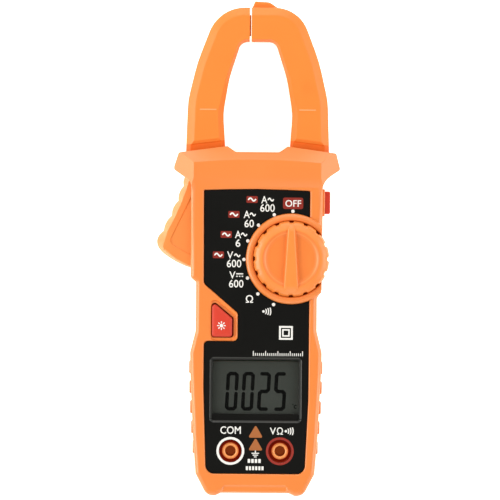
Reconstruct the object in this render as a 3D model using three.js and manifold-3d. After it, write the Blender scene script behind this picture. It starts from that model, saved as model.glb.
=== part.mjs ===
// A hand-held AC clamp meter, lying on its back. Millimetres.
// +X is to the reader's right, +Y runs from the sockets to the jaws, +Z comes out of the display face.
// The origin is on the flat rear face, on the middle line of the housing.
import * as THREE from "three";
import { mergeVertices } from "three/addons/utils/BufferGeometryUtils.js";
import Module from "manifold-3d";

const wasm = await Module();
wasm.setup();

// ---------------------------------------------------------------- driving dimensions
const DEG = Math.PI / 180;
const ARC_STEP = 24 * DEG; // longest step along a rounded corner

// Housing, through its thickness.
const FRONT = 30; // front rim
const PARTING = 15; // where the front and rear covers meet
const SEAM = 0.05; // half of the gap between two shells
const WALL = 2.2;
const EDGE = 1.8; // rounding of the housing's long edges
const PANEL_FLOOR = 28.3; // seat of the black face panel
const PANEL_TOP = 29.5;
const CAVITY_TOP = PANEL_FLOOR - WALL;
const HOOD_TOP = 31.2; // raised hood above the panel
const HOOD_FOLD = 62.15; // the hood's front bends back here, along a shallow arc
const HOOD_FOLD_RADIUS = 252;
const HOOD_SLOPE = 0.846; // run over fall of the slope behind the fold

// Jaws.
const JAW_BACK = 7.5;
const JAW_FRONT = 22.5;
const JAW_CHAMFER = 3;
const JAW_CHAMFER_DEPTH = 2.2;
const JAW_HOLE_CHAMFER = 1;
const FIXED_END = -2.68; // tip face of the fixed jaw, along X
const MOVING_END = -3.35;
const TONGUE_END = -2.83; // the moving jaw's tongue nearly closes the gap
const CORE_BACK = 10.5;
const CORE_FRONT = 19.5;
const CORE_OUTER_WALL = 3;
const CORE_INNER_WALL = 2.6;
const CORE_BASE = [54.6, 61.6]; // the core's bottom run inside the head, along Y
const CORE_BASE_SPLIT = -8;
const CORE_FIT = 0.2;
const NECK_DEPTH = 0.9; // step where a jaw enters the head

// Moving jaw and its trigger turn on one steel pin.
const PIVOT = [-16.5, 50];
const PIN_RADIUS = 2;
const PIN_CLEARANCE = 0.05;
const LEVER_BACK = 8;
const LEVER_FRONT = 22;
const TRIGGER_REACH = 31.05; // the trigger's lower edge is an arc about the pin

const TRIGGER_NOTCHES = [[-28.35, 51.9], [-30.4, 46.1], [-32.95, 40.3], [-35.95, 34.5]];
const TRIGGER_SCALLOP = 1.4; // how far a scallop's curve is pulled out between two notches

// Range knob.
const KNOB = [13.3, 24];
const KNOB_RADIUS = 14.2;
const KNOB_TOP = 34.6;
const POCKET_RADIUS = 14.75;
const POCKET_FLOOR = 26;
const COLLAR_RADIUS = 17.45;
const COLLAR_TOP = 31.3;
const DETENTS = 16; // positions in a full turn, 22.5 degrees apart

// Test-lead sockets: 4 mm shrouded, on the usual 19.05 mm (3/4 inch) pitch.
const SOCKET_PITCH = 19.05;
const SOCKET_Y = -50.1;
const SOCKET_WELL = 4.3;
const SOCKET_POST = 3.2;
const SOCKET_BORE = 2.02;
const SOCKET_POST_TOP = 27.2;
const SOCKET_TUBE = 5.6;
const SOCKET_BOTTOM = 5;
const CONTACT_RADIUS = 2.6;

// Boards, display and cells.
const BOARD_BACK = 20;
const BOARD_FRONT = 21.6;
const CELL_RADIUS = 5.2;
const CELL_LENGTH = 43.3;
const CELL_X = 6.2;
const CELL_Z = 7.9;
const CELLS_BOTTOM = -37.6;
const WINDOW = { x: 16.6, low: -37.6, high: -15.9 }; // opening in the panel over the display
const WINDOW_FLARE = 1; // the panel slopes down to the window

// Screws.
const CASE_SCREWS = [[0, 48], [-18.5, 10.6], [18.5, 4.6], [-17.3, -58.2], [17.3, -58.2]];
const BOSS_RADIUS = 2.8;
const DOOR = { x: 14, low: -42.5, high: 16, screw: 12.6 };

// ---------------------------------------------------------------- outlines, [x, y, corner radius]
const mirrored = (corners) => [
  ...corners,
  ...corners.map(([x, y, radius]) => [-x, y, radius]).reverse(),
];

const BODY_OUTLINE = [
  [18.9, -66.3, 3], [22.9, -58.9, 2], [23.95, -45.6, 30],
  [25.2, -20, 30], [25.35, -12, 5], [23.3, -3.8, 4], [23.3, 8.8, 1], [25.15, 12, 2],
  [25.3, 54, 0], [-25.4, 54, 0],
  [-25.4, 16.6, 1.9], [-23.3, 14.8, 0.6], [-23.3, -4, 4], [-25.35, -12.2, 5], [-25.2, -20, 30],
  [-23.95, -45.6, 30], [-22.9, -58.9, 2], [-18.9, -66.3, 3],
];
const FOOT_OUTLINE = [
  [12.4, -64.5, 0], [13.1, -66.2, 0], [15.2, -67.35, 1.2], [18.5, -67.35, 3.9], [21.4, -61.8, 0],
];
const CAVITY_OUTLINE = [
  [16.4, -63, 2], [20, -57, 2], [22.4, -20, 0], [22.4, -13, 3], [20.7, -4.5, 3], [20.7, 9.3, 0],
  [22.7, 12.8, 0], [22.7, 56, 0], [-22.7, 56, 0], [-22.7, 17.6, 0], [-20.7, 15.8, 0],
  [-20.7, -4.5, 3], [-22.4, -13, 3], [-22.4, -20, 0], [-20, -57, 2], [-16.4, -63, 2],
];
const HEAD_OUTLINE = [
  [24.7, 45, 0], [25.05, 53.8, 8], [32, 58.5, 0.9], [30.4, 64.75, 0.9], [11.6, 67.3, 0.6], [8.4, 65.05, 1.6],
  [-8.4, 65.05, 1.6], [-11.6, 67.3, 0.6], [-30.4, 64.75, 0.9], [-32.45, 58.4, 0.9], [-25.2, 53.4, 6],
  [-24.7, 45, 0],
];
const JAW_OUTLINE = [
  [27.95, 55.5, 0], [27, 84.9, 30], [23.55, 100.1, 60], [15.6, 120.95, 13.4],
  [-15.3, 120.95, 14.7], [-23.52, 99.5, 60], [-27, 84.9, 30], [-27.95, 55.5, 0],
];
const FIN_OUTLINE = [
  [-2.7, 117, 0], [7.6, 117, 0], [7.6, 120.8, 0], [4.3, 123.1, 3], [-1.4, 123.45, 0.4], [-2.6, 120.6, 0],
];
const HOLE_OUTLINE = mirrored([
  [11.35, 50, 0], [13.4, 80, 25], [11.17, 93.6, 40], [6.65, 107.75, 3.5],
]);
const PANEL_OUTLINE = [
  [19, -58.8, 3.2], [20.25, -30, 60], [20.35, 50.1, 0.3], [0, 50.9, 300], [-20.4, 50.2, 0.3],
  [-20.2, 14.3, 2], [-7, 3, 1.6], [-7, -7.9, 1.8], [-20, -7.9, 1.6], [-20, -26, 60],
  [-18.9, -58.8, 3.2],
];
const LIGHT_BUTTON_OUTLINE = [
  [-17, -6.2, 1], [-9.25, -6.2, 1], [-9.25, 0.9, 0.9], [-17, 7.5, 1.1],
];
const LIGHT_HOLE_OUTLINE = [
  [-17.25, -6.5, 1.2], [-8.65, -6.5, 1.2], [-8.65, 1.2, 1.1], [-17.25, 8.3, 1.3],
];
const BOARD_OUTLINE = [
  [20, -44.2, 1], [20, 0.8, 0], [14.6, 0.8, 0], [14.6, 8.2, 0], [20, 8.2, 0], [22, 13.4, 0], [22, 39.8, 0],
  [19, 39.8, 0], [19, 52, 1], [-4.5, 52, 1], [-4.5, 13.2, 0], [-14.6, 13.2, 0], [-14.6, 6.6, 0],
  [-20, 6.6, 0], [-20, -44.2, 1],
];

// ---------------------------------------------------------------- geometry helpers
// The points of a closed outline whose corners are rounded, all moved out by `grow`.
function outlinePoints(corners, grow = 0) {
  const grown = grow ? movedOut(corners, grow) : corners;
  const n = grown.length;
  return grown.flatMap(([x, y, radius], i) => {
    const corner = new THREE.Vector2(x, y);
    if (!radius) return [corner];
    const before = new THREE.Vector2(...grown[(i + n - 1) % n]).sub(corner).normalize();
    const after = new THREE.Vector2(...grown[(i + 1) % n]).sub(corner).normalize();
    const half = Math.acos(before.dot(after)) / 2;
    const inward = before.clone().add(after).normalize();
    const centre = corner.clone().addScaledVector(inward, radius / Math.sin(half));
    const turn = Math.PI - 2 * half;
    const side = Math.sign(after.cross(before)); // +1 at a corner that bulges out
    const steps = Math.max(2, Math.ceil(turn / ARC_STEP));
    const first = corner.clone().addScaledVector(before, radius / Math.tan(half)).sub(centre);
    return Array.from({ length: steps + 1 }, (_, k) =>
      first.clone().rotateAround(new THREE.Vector2(), (side * turn * k) / steps).add(centre));
  });
}

// The corners of an anticlockwise outline with each edge moved out by `grow`.
function movedOut(corners, grow) {
  const n = corners.length;
  const edge = (i) => {
    const [x0, y0] = corners[(i + n) % n];
    const [x1, y1] = corners[(i + 1) % n];
    const along = new THREE.Vector2(x1 - x0, y1 - y0).normalize();
    return { point: new THREE.Vector2(x0 + along.y * grow, y0 - along.x * grow), along };
  };
  return corners.map(([, , radius], i) => {
    const a = edge(i - 1);
    const b = edge(i);
    const t = b.point.clone().sub(a.point).cross(b.along) / a.along.cross(b.along);
    const corner = a.point.clone().addScaledVector(a.along, t);
    const bulges = a.along.cross(b.along) > 0;
    return [corner.x, corner.y, radius ? Math.max(0.2, radius + (bulges ? grow : -grow)) : 0];
  });
}

// A three.js geometry as a solid that can be cut and joined.
function solid(geometry) {
  const bare = geometry.index ? geometry.toNonIndexed() : geometry.clone();
  bare.deleteAttribute("normal");
  bare.deleteAttribute("uv");
  const merged = mergeVertices(bare);
  return new wasm.Manifold(new wasm.Mesh({
    numProp: 3,
    vertProperties: merged.attributes.position.array,
    triVerts: new Uint32Array(merged.index.array),
  }));
}

function geometryOf(manifold) {
  const mesh = manifold.getMesh();
  const positions = new Float32Array(mesh.numVert * 3);
  for (let i = 0; i < mesh.numVert; i++)
    positions.set(mesh.vertProperties.subarray(i * mesh.numProp, i * mesh.numProp + 3), i * 3);
  const geometry = new THREE.BufferGeometry();
  geometry.setAttribute("position", new THREE.BufferAttribute(positions, 3));
  geometry.setIndex(new THREE.BufferAttribute(mesh.triVerts, 1));
  geometry.computeVertexNormals();
  return geometry;
}

// An outline raised from z0 to z1, its end edges rounded by `edge` across and `edgeDepth` down.
function raised(points, z0, z1, edge = 0, edgeSteps = 2, edgeDepth = edge) {
  const geometry = new THREE.ExtrudeGeometry(new THREE.Shape(points), {
    depth: z1 - z0 - 2 * edgeDepth,
    bevelEnabled: edge > 0,
    bevelThickness: edgeDepth,
    bevelSize: edge,
    bevelOffset: -edge,
    bevelSegments: edgeSteps,
  });
  return solid(geometry.translate(0, 0, z0 + edgeDepth));
}

const plate = (corners, z0, z1, grow = 0, edge = 0, steps = 2, edgeDepth = edge) =>
  raised(outlinePoints(corners, grow), z0, z1, edge, steps, edgeDepth);

// A tapered ridge around an outline at height z, to cut a chamfer of `size` into a mouth there.
function mouth(corners, z, size) {
  const geometry = new THREE.ExtrudeGeometry(new THREE.Shape(outlinePoints(corners)), {
    depth: 0.01,
    bevelThickness: size,
    bevelSize: size,
    bevelSegments: 1,
  });
  return solid(geometry.translate(0, 0, z - 0.005));
}

function box(x0, x1, y0, y1, z0, z1) {
  const geometry = new THREE.BoxGeometry(x1 - x0, y1 - y0, z1 - z0);
  return solid(geometry.translate((x0 + x1) / 2, (y0 + y1) / 2, (z0 + z1) / 2));
}

// A cylinder standing along Z.
function post([x, y], radius, z0, z1, sides = 24) {
  const geometry = new THREE.CylinderGeometry(radius, radius, z1 - z0, sides);
  return solid(geometry.rotateX(Math.PI / 2).translate(x, y, (z0 + z1) / 2));
}

// A profile of [radius, height] points turned about a vertical axis.
function turned(profile, [x, y] = [0, 0], sides = 24) {
  const points = profile.map(([radius, height]) => new THREE.Vector2(radius, height));
  const geometry = new THREE.LatheGeometry(points, sides);
  return solid(geometry.rotateX(Math.PI / 2).translate(x, y, 0));
}

// Cuts away what lies beyond a plane.
function cutBeyond(shape, point, normal) {
  const size = 200;
  const away = new THREE.Vector3(...normal).normalize();
  const geometry = new THREE.BoxGeometry(size, size, size);
  geometry.translate(0, 0, size / 2);
  geometry.applyQuaternion(new THREE.Quaternion().setFromUnitVectors(new THREE.Vector3(0, 0, 1), away));
  geometry.translate(...point);
  return shape.subtract(solid(geometry));
}

const join = (...shapes) => shapes.reduce((a, b) => a.add(b));
const cut = (shape, ...tools) => tools.reduce((a, b) => a.subtract(b), shape);

// A round wire along a curve.
function wire(curve, radius, steps, sides = 6) {
  const section = Array.from({ length: sides }, (_, i) =>
    new THREE.Vector2(Math.cos((2 * Math.PI * i) / sides), Math.sin((2 * Math.PI * i) / sides))
      .multiplyScalar(radius));
  return solid(new THREE.ExtrudeGeometry(new THREE.Shape(section), { steps, extrudePath: curve }));
}

// A helix about Z, from height z0 to z1, whose radius runs from r0 to r1.
class Coil extends THREE.Curve {
  constructor(turns, z0, z1, r0, r1, legs = 0) {
    super();
    Object.assign(this, { turns, z0, z1, r0, r1, legs });
  }
  getPoint(t, target = new THREE.Vector3()) {
    const angle = 2 * Math.PI * this.turns * t;
    const radius = this.r0 + (this.r1 - this.r0) * t;
    const flare = this.legs * Math.max(0, Math.abs(t - 0.5) - 0.47) / 0.03;
    return target.set(
      (radius + flare) * Math.cos(angle),
      (radius + flare) * Math.sin(angle),
      this.z0 + (this.z1 - this.z0) * t,
    );
  }
}

// ---------------------------------------------------------------- materials
const plastic = (color, roughness = 0.5) => new THREE.MeshStandardMaterial({ color, roughness });
const metal = (color, roughness = 0.3) => new THREE.MeshStandardMaterial({ color, roughness, metalness: 1 });
const ORANGE = plastic(0xff7a28, 0.45);
const BLACK = plastic(0x151515, 0.4);
const RED = plastic(0xe23a2a, 0.5);
const WHITE = plastic(0xf0ede4, 0.6);
const GREEN = plastic(0x1e5a38, 0.5);
const CLEAR = plastic(0x505850, 0.1);
CLEAR.transparent = true;
CLEAR.opacity = 0.4;
const LCD = plastic(0x4a504a, 0.3);
const STEEL = metal(0xb8babd);
const BRASS = metal(0xc8a050);
const COPPER = metal(0xb86a3c, 0.4);
const IRON = metal(0x77797c, 0.5);
const CELL = plastic(0x2f4f86, 0.4);

const meter = new THREE.Group();
meter.name = "clamp_meter";

function place(name, shape, material, group = meter) {
  const mesh = new THREE.Mesh(geometryOf(shape), material);
  mesh.name = name;
  group.add(mesh);
  return mesh;
}

// ---------------------------------------------------------------- housing
const SOCKETS = [-1, 1].map((side) => [(side * SOCKET_PITCH) / 2, SOCKET_Y]);
const HOLD_BUTTON = { y0: 41.4, y1: 50.1, z0: 19, z1: 25, out: 28.2 };
const HOLD_BEZEL = 26.1; // how far the pad around the side button reaches along X
const TRIGGER_SLOT = [7.2, 22.8];

function sideRibs() {
  const count = 5;
  const pitch = 7.7;
  const half = 2.4;
  const ribs = [];
  for (const side of [-1, 1]) {
    for (let i = 0; i < count; i++) {
      const y = -18 - pitch * i;
      const outer = 25.75 - 0.0013 * (y + 14) ** 2;
      const [a, b] = [side * (outer - 3), side * outer];
      const corners = [
        [Math.min(a, b), y - half, 0], [Math.max(a, b), y - half, 0],
        [Math.max(a, b), y + half, 0], [Math.min(a, b), y + half, 0],
      ];
      ribs.push(plate(corners, 6, 24, 0, 0.39, 1));
    }
  }
  return join(...ribs);
}

function housingBlock() {
  const foldReach = (z) => HOOD_FOLD_RADIUS + HOOD_SLOPE * (HOOD_TOP - z);
  const crown = turned(
    [[0, -5], [foldReach(-5), -5], [foldReach(40), 40], [0, 40], [0, -5]],
    [0, HOOD_FOLD - HOOD_FOLD_RADIUS], 360);
  const head = [
    [[24.6, 0, HOOD_TOP], [7.7, 0, 6.9]], [[-24.6, 0, HOOD_TOP], [-7.7, 0, 6.9]], // front side facets
    [[26.5, 0, 0], [6.5, 0, -5]], [[-26.5, 0, 0], [-6.5, 0, -5]], // rear side facets
    [[0, 63.5, 0], [0, 2.5, -2.5]], // rear top facet
    [[0, 55, HOOD_TOP], [0, -0.4, 1.2]], // foot of the hood
  ].reduce((shape, [point, normal]) => cutBeyond(shape, point, normal),
    plate(HEAD_OUTLINE, 0, HOOD_TOP).intersect(crown));
  const body = plate(BODY_OUTLINE, 0, FRONT, 0, EDGE, 2);
  const foot = plate(FOOT_OUTLINE, 0.6, FRONT - 0.6, 0, 0.8, 1);
  const { y0, z0, z1 } = HOLD_BUTTON;
  const pad = [[22, y0 - 0.9, 0], [HOLD_BEZEL, y0 - 0.9, 0], [HOLD_BEZEL, 51, 0], [22, 51, 0]];
  const bezel = plate(pad, z0 - 1.6, z1 + 1.6, 0, 0.4, 1);
  return join(body, foot, foot.mirror([1, 0, 0]), bezel, head, sideRibs());
}

// The room inside for boards, cells, the lever and the feet of the jaws.
function housingCavity() {
  const [slotBack, slotFront] = TRIGGER_SLOT;
  const jawSlot = (x0, x1) => box(x0, x1, 55.2, 70, slotBack, slotFront);
  const leverWay = box(-45, -20, PIVOT[1] - TRIGGER_REACH - 0.6, 70, slotBack, slotFront);
  return join(
    plate(CAVITY_OUTLINE, WALL, CAVITY_TOP),
    box(-22.7, 22.7, 50, 62.8, WALL + 0.5, 26.6),
    box(-13, -8, 50, 64.2, slotBack, slotFront),
    jawSlot(-28.5, -12), jawSlot(11.95, 28.25), leverWay,
  );
}

function frontCover(block, cavity) {
  let cover = block.intersect(box(-60, 60, -90, 90, PARTING + SEAM, 60));
  cover = cut(cover, cavity, plate(PANEL_OUTLINE, PANEL_FLOOR, 40, 0.2));
  // Dial pocket, its floor and the bearing hole for the knob's stem.
  const insideBody = box(-60, 24.9, -90, 90, 0, 60);
  const pocketFloor = post(KNOB, POCKET_RADIUS + 1.8, POCKET_FLOOR - 2, POCKET_FLOOR + 0.5, 40);
  cover = cover.add(pocketFloor.intersect(insideBody));
  cover = cut(cover, post(KNOB, POCKET_RADIUS, POCKET_FLOOR, 60, 48), post(KNOB, 4.1, 20, 60, 32));
  // The ring of the collar stands above the panel's seat.
  const collar = turned([
    [POCKET_RADIUS, POCKET_FLOOR], [COLLAR_RADIUS, POCKET_FLOOR], [COLLAR_RADIUS, 30.5], [16.8, COLLAR_TOP],
    [15.3, COLLAR_TOP], [POCKET_RADIUS, 30.7], [POCKET_RADIUS, POCKET_FLOOR],
  ], KNOB, 48);
  cover = cover.add(collar.intersect(insideBody));
  // Display window, buttons and screw bosses.
  const hold = HOLD_BUTTON;
  cover = cut(cover,
    box(-17.5, 17.5, -39, -15, 20, 40),
    plate(LIGHT_HOLE_OUTLINE, 20, 40),
    box(20, 40, hold.y0 - 0.25, hold.y1 + 0.25, hold.z0 - 0.25, hold.z1 + 0.25));
  for (const centre of CASE_SCREWS) {
    const screwBoss = post(centre, BOSS_RADIUS, PARTING + SEAM, CAVITY_TOP + 1, 20);
    cover = cover.add(cut(screwBoss, post(centre, 1.15, 10, 22, 12)));
  }
  // Sockets: a tube, a post in its middle and a lip that keeps the contact sleeve.
  for (const centre of SOCKETS) {
    const middle = post(centre, SOCKET_POST, 0, SOCKET_POST_TOP);
    const well = cut(post(centre, SOCKET_WELL, SOCKET_BOTTOM + 2, 40), middle);
    cover = cover.add(post(centre, SOCKET_TUBE, SOCKET_BOTTOM, PANEL_FLOOR));
    cover = cut(cover, well, post(centre, SOCKET_BORE, 0, 40), post(centre, CONTACT_RADIUS + 0.05, 0, 24.1));
  }
  // Boss that holds the front end of the pivot pin.
  const pinBoss = post(PIVOT, 4.4, LEVER_FRONT + 0.2, CAVITY_TOP + 1);
  return cover.add(cut(pinBoss, post(PIVOT, PIN_RADIUS + 0.02, 0, 25.6, 48)));
}

function rearCover(block, cavity) {
  let cover = block.intersect(box(-60, 60, -90, 90, -10, PARTING - SEAM));
  cover = cut(cover, cavity);
  // Cell compartment with walls up to its ceiling.
  const bay = { x: 13, low: -41, high: 7.6, ceiling: 13.4 };
  const wall = 1.4;
  cover = cover.add(box(-bay.x - wall, bay.x + wall, bay.low - 1.2, DOOR.high + 0.4, 1, bay.ceiling + wall));
  cover = cut(cover,
    box(-bay.x, bay.x, bay.low, bay.high, -1, bay.ceiling),
    box(-DOOR.x - 0.2, DOOR.x + 0.2, DOOR.low - 0.2, DOOR.high + 0.2, -1, 1.7),
    ...[-8, 8].map((x) => box(x - 2.2, x + 2.2, DOOR.low - 1.8, bay.low + 0.1, 1.6, 3.15)),
    post([0, DOOR.screw], 1.1, 0, 12, 16));
  for (const centre of CASE_SCREWS) {
    cover = cover.add(post(centre, BOSS_RADIUS, 1, PARTING - SEAM, 20));
    cover = cut(cover, post(centre, 2.6, -1, 4.2, 20), post(centre, 1.4, -1, 20, 12));
  }
  // Room for the front cover's socket tubes, and the boss under the pivot pin.
  for (const centre of SOCKETS) cover = cut(cover, post(centre, SOCKET_TUBE + 0.3, WALL, 20));
  const pinBoss = post(PIVOT, 3.4, 1, LEVER_BACK - 0.2);
  return cover.add(cut(pinBoss, post(PIVOT, PIN_RADIUS + 0.02, 2.6, 40, 48)));
}

function batteryDoor() {
  const corners = mirrored([[DOOR.x, DOOR.low, 1.2], [DOOR.x, DOOR.high, 1.2]]);
  const hooks = [-8, 8].map((x) => join(
    box(x - 2, x + 2, DOOR.low, DOOR.low + 1.4, 1.2, 2.95),
    box(x - 2, x + 2, DOOR.low - 1.6, DOOR.low + 1, 1.75, 2.95),
  ));
  const grips = [0, 1, 2, 3, 4, 5].map((i) => box(-6.5, 6.5, -27.3 - 1.9 * i, -26.7 - 1.9 * i, -1, 0.4));
  const door = join(plate(corners, 0, 1.5), ...hooks);
  return cut(door, ...grips, post([0, DOOR.screw], 2.4, -1, 0.8, 24), post([0, DOOR.screw], 1.3, -1, 4, 16));
}

// A pan-head screw, head down at z = 0, with a cross slot.
function screw(headRadius, headHeight, shankRadius, length) {
  const body = turned([
    [0, 0], [headRadius * 0.8, 0], [headRadius, headHeight * 0.5], [headRadius, headHeight],
    [shankRadius, headHeight], [shankRadius, length - 1], [0, length]], [0, 0], 12);
  const arm = headRadius * 0.6;
  const deep = headHeight * 0.6;
  return cut(body, box(-arm, arm, -0.25, 0.25, -1, deep), box(-0.25, 0.25, -arm, arm, -1, deep));
}

const block = housingBlock();
const cavity = housingCavity();
place("front_cover", frontCover(block, cavity), ORANGE);
place("rear_cover", rearCover(block, cavity), ORANGE);
place("battery_door", batteryDoor(), ORANGE);
place("battery_door_screw", screw(2.2, 0.7, 1, 6), STEEL).position.set(0, DOOR.screw, 0.1);
CASE_SCREWS.forEach(([x, y], i) => {
  place(`case_screw_${i + 1}`, screw(2.4, 1.6, 1.1, 16.5), STEEL).position.set(x, y, 2.4);
});

// ---------------------------------------------------------------- face panel and display
function facePanel() {
  const frame = mirrored([[WINDOW.x, WINDOW.low, 0.4], [WINDOW.x, WINDOW.high, 0.4]]);
  return cut(
    plate(PANEL_OUTLINE, PANEL_FLOOR, PANEL_TOP),
    plate(frame, 20, 40),
    mouth(frame, PANEL_TOP, WINDOW_FLARE),
    post(KNOB, COLLAR_RADIUS + 0.15, 20, 40, 48),
    ...SOCKETS.map((centre) => post(centre, SOCKET_WELL, 20, 40)),
  );
}
place("face_panel", facePanel(), BLACK);
place("display_lens", box(-17.3, 17.3, -38.8, -15.2, 27.2, 28.2), CLEAR);
place("lcd_glass", box(-17.1, 17.1, -38.6, -15.4, 25, 27), LCD);
place("lcd_backlight", box(-16.6, 16.6, -38.4, -18.6, 22.4, 24.9), WHITE);
place("lcd_connector", box(-15.5, 15.5, -17.8, -15.8, BOARD_FRONT + 0.05, 24.95), WHITE);

// ---------------------------------------------------------------- sockets
function contact([x]) {
  const wall = [[CONTACT_RADIUS, 4.2], [CONTACT_RADIUS, 23.9], [2, 23.9], [2, 4.2], [CONTACT_RADIUS, 4.2]];
  const sleeve = turned(wall, [x, SOCKET_Y], 32);
  const tab = box(x - 1.5, x + 1.5, SOCKET_Y + 2.2, -43.2, 4.2, 4.8);
  const riser = box(x - 1.5, x + 1.5, -43.8, -43.2, 4.2, BOARD_BACK - 0.05);
  return join(sleeve, tab, riser);
}
place("com_socket_contact", contact(SOCKETS[0]), BRASS);
place("volt_socket_contact", contact(SOCKETS[1]), BRASS);

// ---------------------------------------------------------------- circuit board
function mainBoard() {
  const holes = [post([0, 48], BOSS_RADIUS + 0.3, 0, 40), post(KNOB, 3.2, 0, 40)];
  return cut(plate(BOARD_OUTLINE, BOARD_BACK, BOARD_FRONT), ...holes);
}
place("main_board", mainBoard(), GREEN);
place("measuring_chip", box(-5, 5, -12, -2, BOARD_BACK - 1.6, BOARD_BACK - 0.05), BLACK);
const resistor = turned([[0, 0], [3.4, 0], [4, 0.6], [4, 2.4], [3.4, 3], [0, 3]], [0, 0], 24);
place("input_resistor", resistor, COPPER).position.set(-14, -30, BOARD_BACK - 3.1);
place("crystal", box(8, 12, -9, -5, BOARD_BACK - 1.5, BOARD_BACK - 0.05), STEEL);
place("buzzer", turned([[0, 14.6], [6, 14.6], [6.6, 15.2], [6.6, 19.9], [0, 19.9]], [12.4, 45], 32), BLACK);

// ---------------------------------------------------------------- cells and their contacts
function cell() {
  const shape = [[0, 0], [4.8, 0], [CELL_RADIUS, 0.4], [CELL_RADIUS, CELL_LENGTH - 0.5],
    [4.7, CELL_LENGTH], [1.9, CELL_LENGTH], [1.9, CELL_LENGTH + 1.1], [0, CELL_LENGTH + 1.1]];
  return turned(shape, [0, 0], 20);
}
const CELLS_TOP = CELLS_BOTTOM + CELL_LENGTH + 1.2;
const BRIDGE_Y = -40.6;
const SPRING_ROOM = 3;
const leftCell = place("battery_1", cell(), CELL);
leftCell.rotation.x = -Math.PI / 2;
leftCell.position.set(-CELL_X, CELLS_BOTTOM, CELL_Z);
const rightCell = place("battery_2", cell(), CELL);
rightCell.rotation.x = Math.PI / 2;
rightCell.position.set(CELL_X, CELLS_TOP - SPRING_ROOM + 0.1, CELL_Z);
const spring = () => wire(new Coil(2.5, 0, 2.3, 3.6, 1.6), 0.3, 28, 5);
const springLow = place("battery_spring_1", spring(), STEEL);
springLow.rotation.x = -Math.PI / 2;
springLow.position.set(-CELL_X, BRIDGE_Y + 0.35, CELL_Z);
const springHigh = place("battery_spring_2", spring(), STEEL);
springHigh.rotation.x = Math.PI / 2;
springHigh.position.set(CELL_X, CELLS_TOP - 0.25, CELL_Z);
place("contact_bridge", box(-11, 11, BRIDGE_Y - 0.3, BRIDGE_Y, 3.4, 12.6), STEEL);
for (const [i, x] of [-CELL_X, CELL_X].entries()) {
  const strip = box(x - 4.5, x + 4.5, CELLS_TOP + 0.15, CELLS_TOP + 0.45, 3.4, 12.6);
  place(`contact_plate_${i + 1}`, strip, STEEL);
}

// ---------------------------------------------------------------- jaws
function jawRing() {
  const hole = join(
    plate(HOLE_OUTLINE, 0, 40),
    mouth(HOLE_OUTLINE, JAW_FRONT, JAW_HOLE_CHAMFER),
    mouth(HOLE_OUTLINE, JAW_BACK, JAW_HOLE_CHAMFER),
  );
  const outer = plate(JAW_OUTLINE, JAW_BACK, JAW_FRONT, 0, JAW_CHAMFER, 1, JAW_CHAMFER_DEPTH);
  return outer.subtract(hole);
}

// Where the jaws enter the head their faces step back, along a line that follows its top edge.
function neckCut() {
  const corners = mirrored([[30, 57, 0], [30, 67.2, 0], [11, 69.35, 0]]);
  return join(plate(corners, JAW_FRONT - NECK_DEPTH, 40), plate(corners, 0, JAW_BACK + NECK_DEPTH));
}

function coreRing(fit = 0) {
  const outer = plate(JAW_OUTLINE, CORE_BACK - fit, CORE_FRONT + fit, fit - CORE_OUTER_WALL)
    .intersect(box(-60, 60, CORE_BASE[1], 200, 0, 40));
  const half = 22.4 + fit;
  const base = box(-half, half, CORE_BASE[0] - fit, CORE_BASE[1] + 0.1, CORE_BACK - fit, CORE_FRONT + fit);
  const window = plate(HOLE_OUTLINE, 0, 40, CORE_INNER_WALL - fit)
    .intersect(box(-60, 60, CORE_BASE[1] + fit, 200, 0, 40));
  return cut(join(outer, base), window);
}

const ring = jawRing().subtract(neckCut());
const core = coreRing();
const coreRoom = coreRing(CORE_FIT);
const tipRight = (x) => box(x, 60, 80, 200, 0, 40);
const tipLeft = (x) => box(-60, x, 80, 200, 0, 40);
const baseRight = (x) => box(x, 60, 40, 80.1, 0, 40);
const baseLeft = (x) => box(-60, x, 40, 80.1, 0, 40);
const frontHalf = (shape) => shape.intersect(box(-60, 60, -90, 200, PARTING + SEAM, 60));
const rearHalf = (shape) => shape.intersect(box(-60, 60, -90, 200, -10, PARTING - SEAM));

function fixedJaw() {
  const fin = plate(FIN_OUTLINE, 12, 18, 0, 0.3, 1);
  const finHalf = fin.intersect(tipRight(FIXED_END));
  const jaw = join(ring.intersect(join(tipRight(FIXED_END), baseRight(0))), finHalf);
  return cut(jaw, coreRoom);
}

// The lever plate that carries the moving jaw, its hub and the trigger with its scalloped finger edge.
function lever() {
  const shape = new THREE.Shape();
  shape.moveTo(-12.6, 63);
  shape.lineTo(-28, 63);
  shape.lineTo(-28, 55.4);
  shape.quadraticCurveTo(-28.9, 53.5, ...TRIGGER_NOTCHES[0]);
  for (let i = 1; i < TRIGGER_NOTCHES.length; i++) {
    const [x0, y0] = TRIGGER_NOTCHES[i - 1];
    const [x1, y1] = TRIGGER_NOTCHES[i];
    const bulge = new THREE.Vector2(y1 - y0, x0 - x1).setLength(TRIGGER_SCALLOP);
    shape.quadraticCurveTo((x0 + x1) / 2 + bulge.x, (y0 + y1) / 2 + bulge.y, x1, y1);
  }
  shape.quadraticCurveTo(-38.55, 32.6, -38.55, 30.3);
  shape.quadraticCurveTo(-38.55, 28.1, -36.36, 26.18);
  shape.absarc(...PIVOT, TRIGGER_REACH, 230.2 * DEG, 266 * DEG, false);
  shape.lineTo(-11.6, 44.5);
  shape.lineTo(-11.6, 54.2);
  shape.lineTo(-12.6, 56);
  const geometry = new THREE.ExtrudeGeometry(shape, {
    depth: LEVER_FRONT - LEVER_BACK - 1.2,
    curveSegments: 4,
    bevelThickness: 0.6,
    bevelSize: 0.6,
    bevelOffset: -0.6,
    bevelSegments: 1,
  });
  return solid(geometry.translate(0, 0, LEVER_BACK + 0.6));
}

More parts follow.
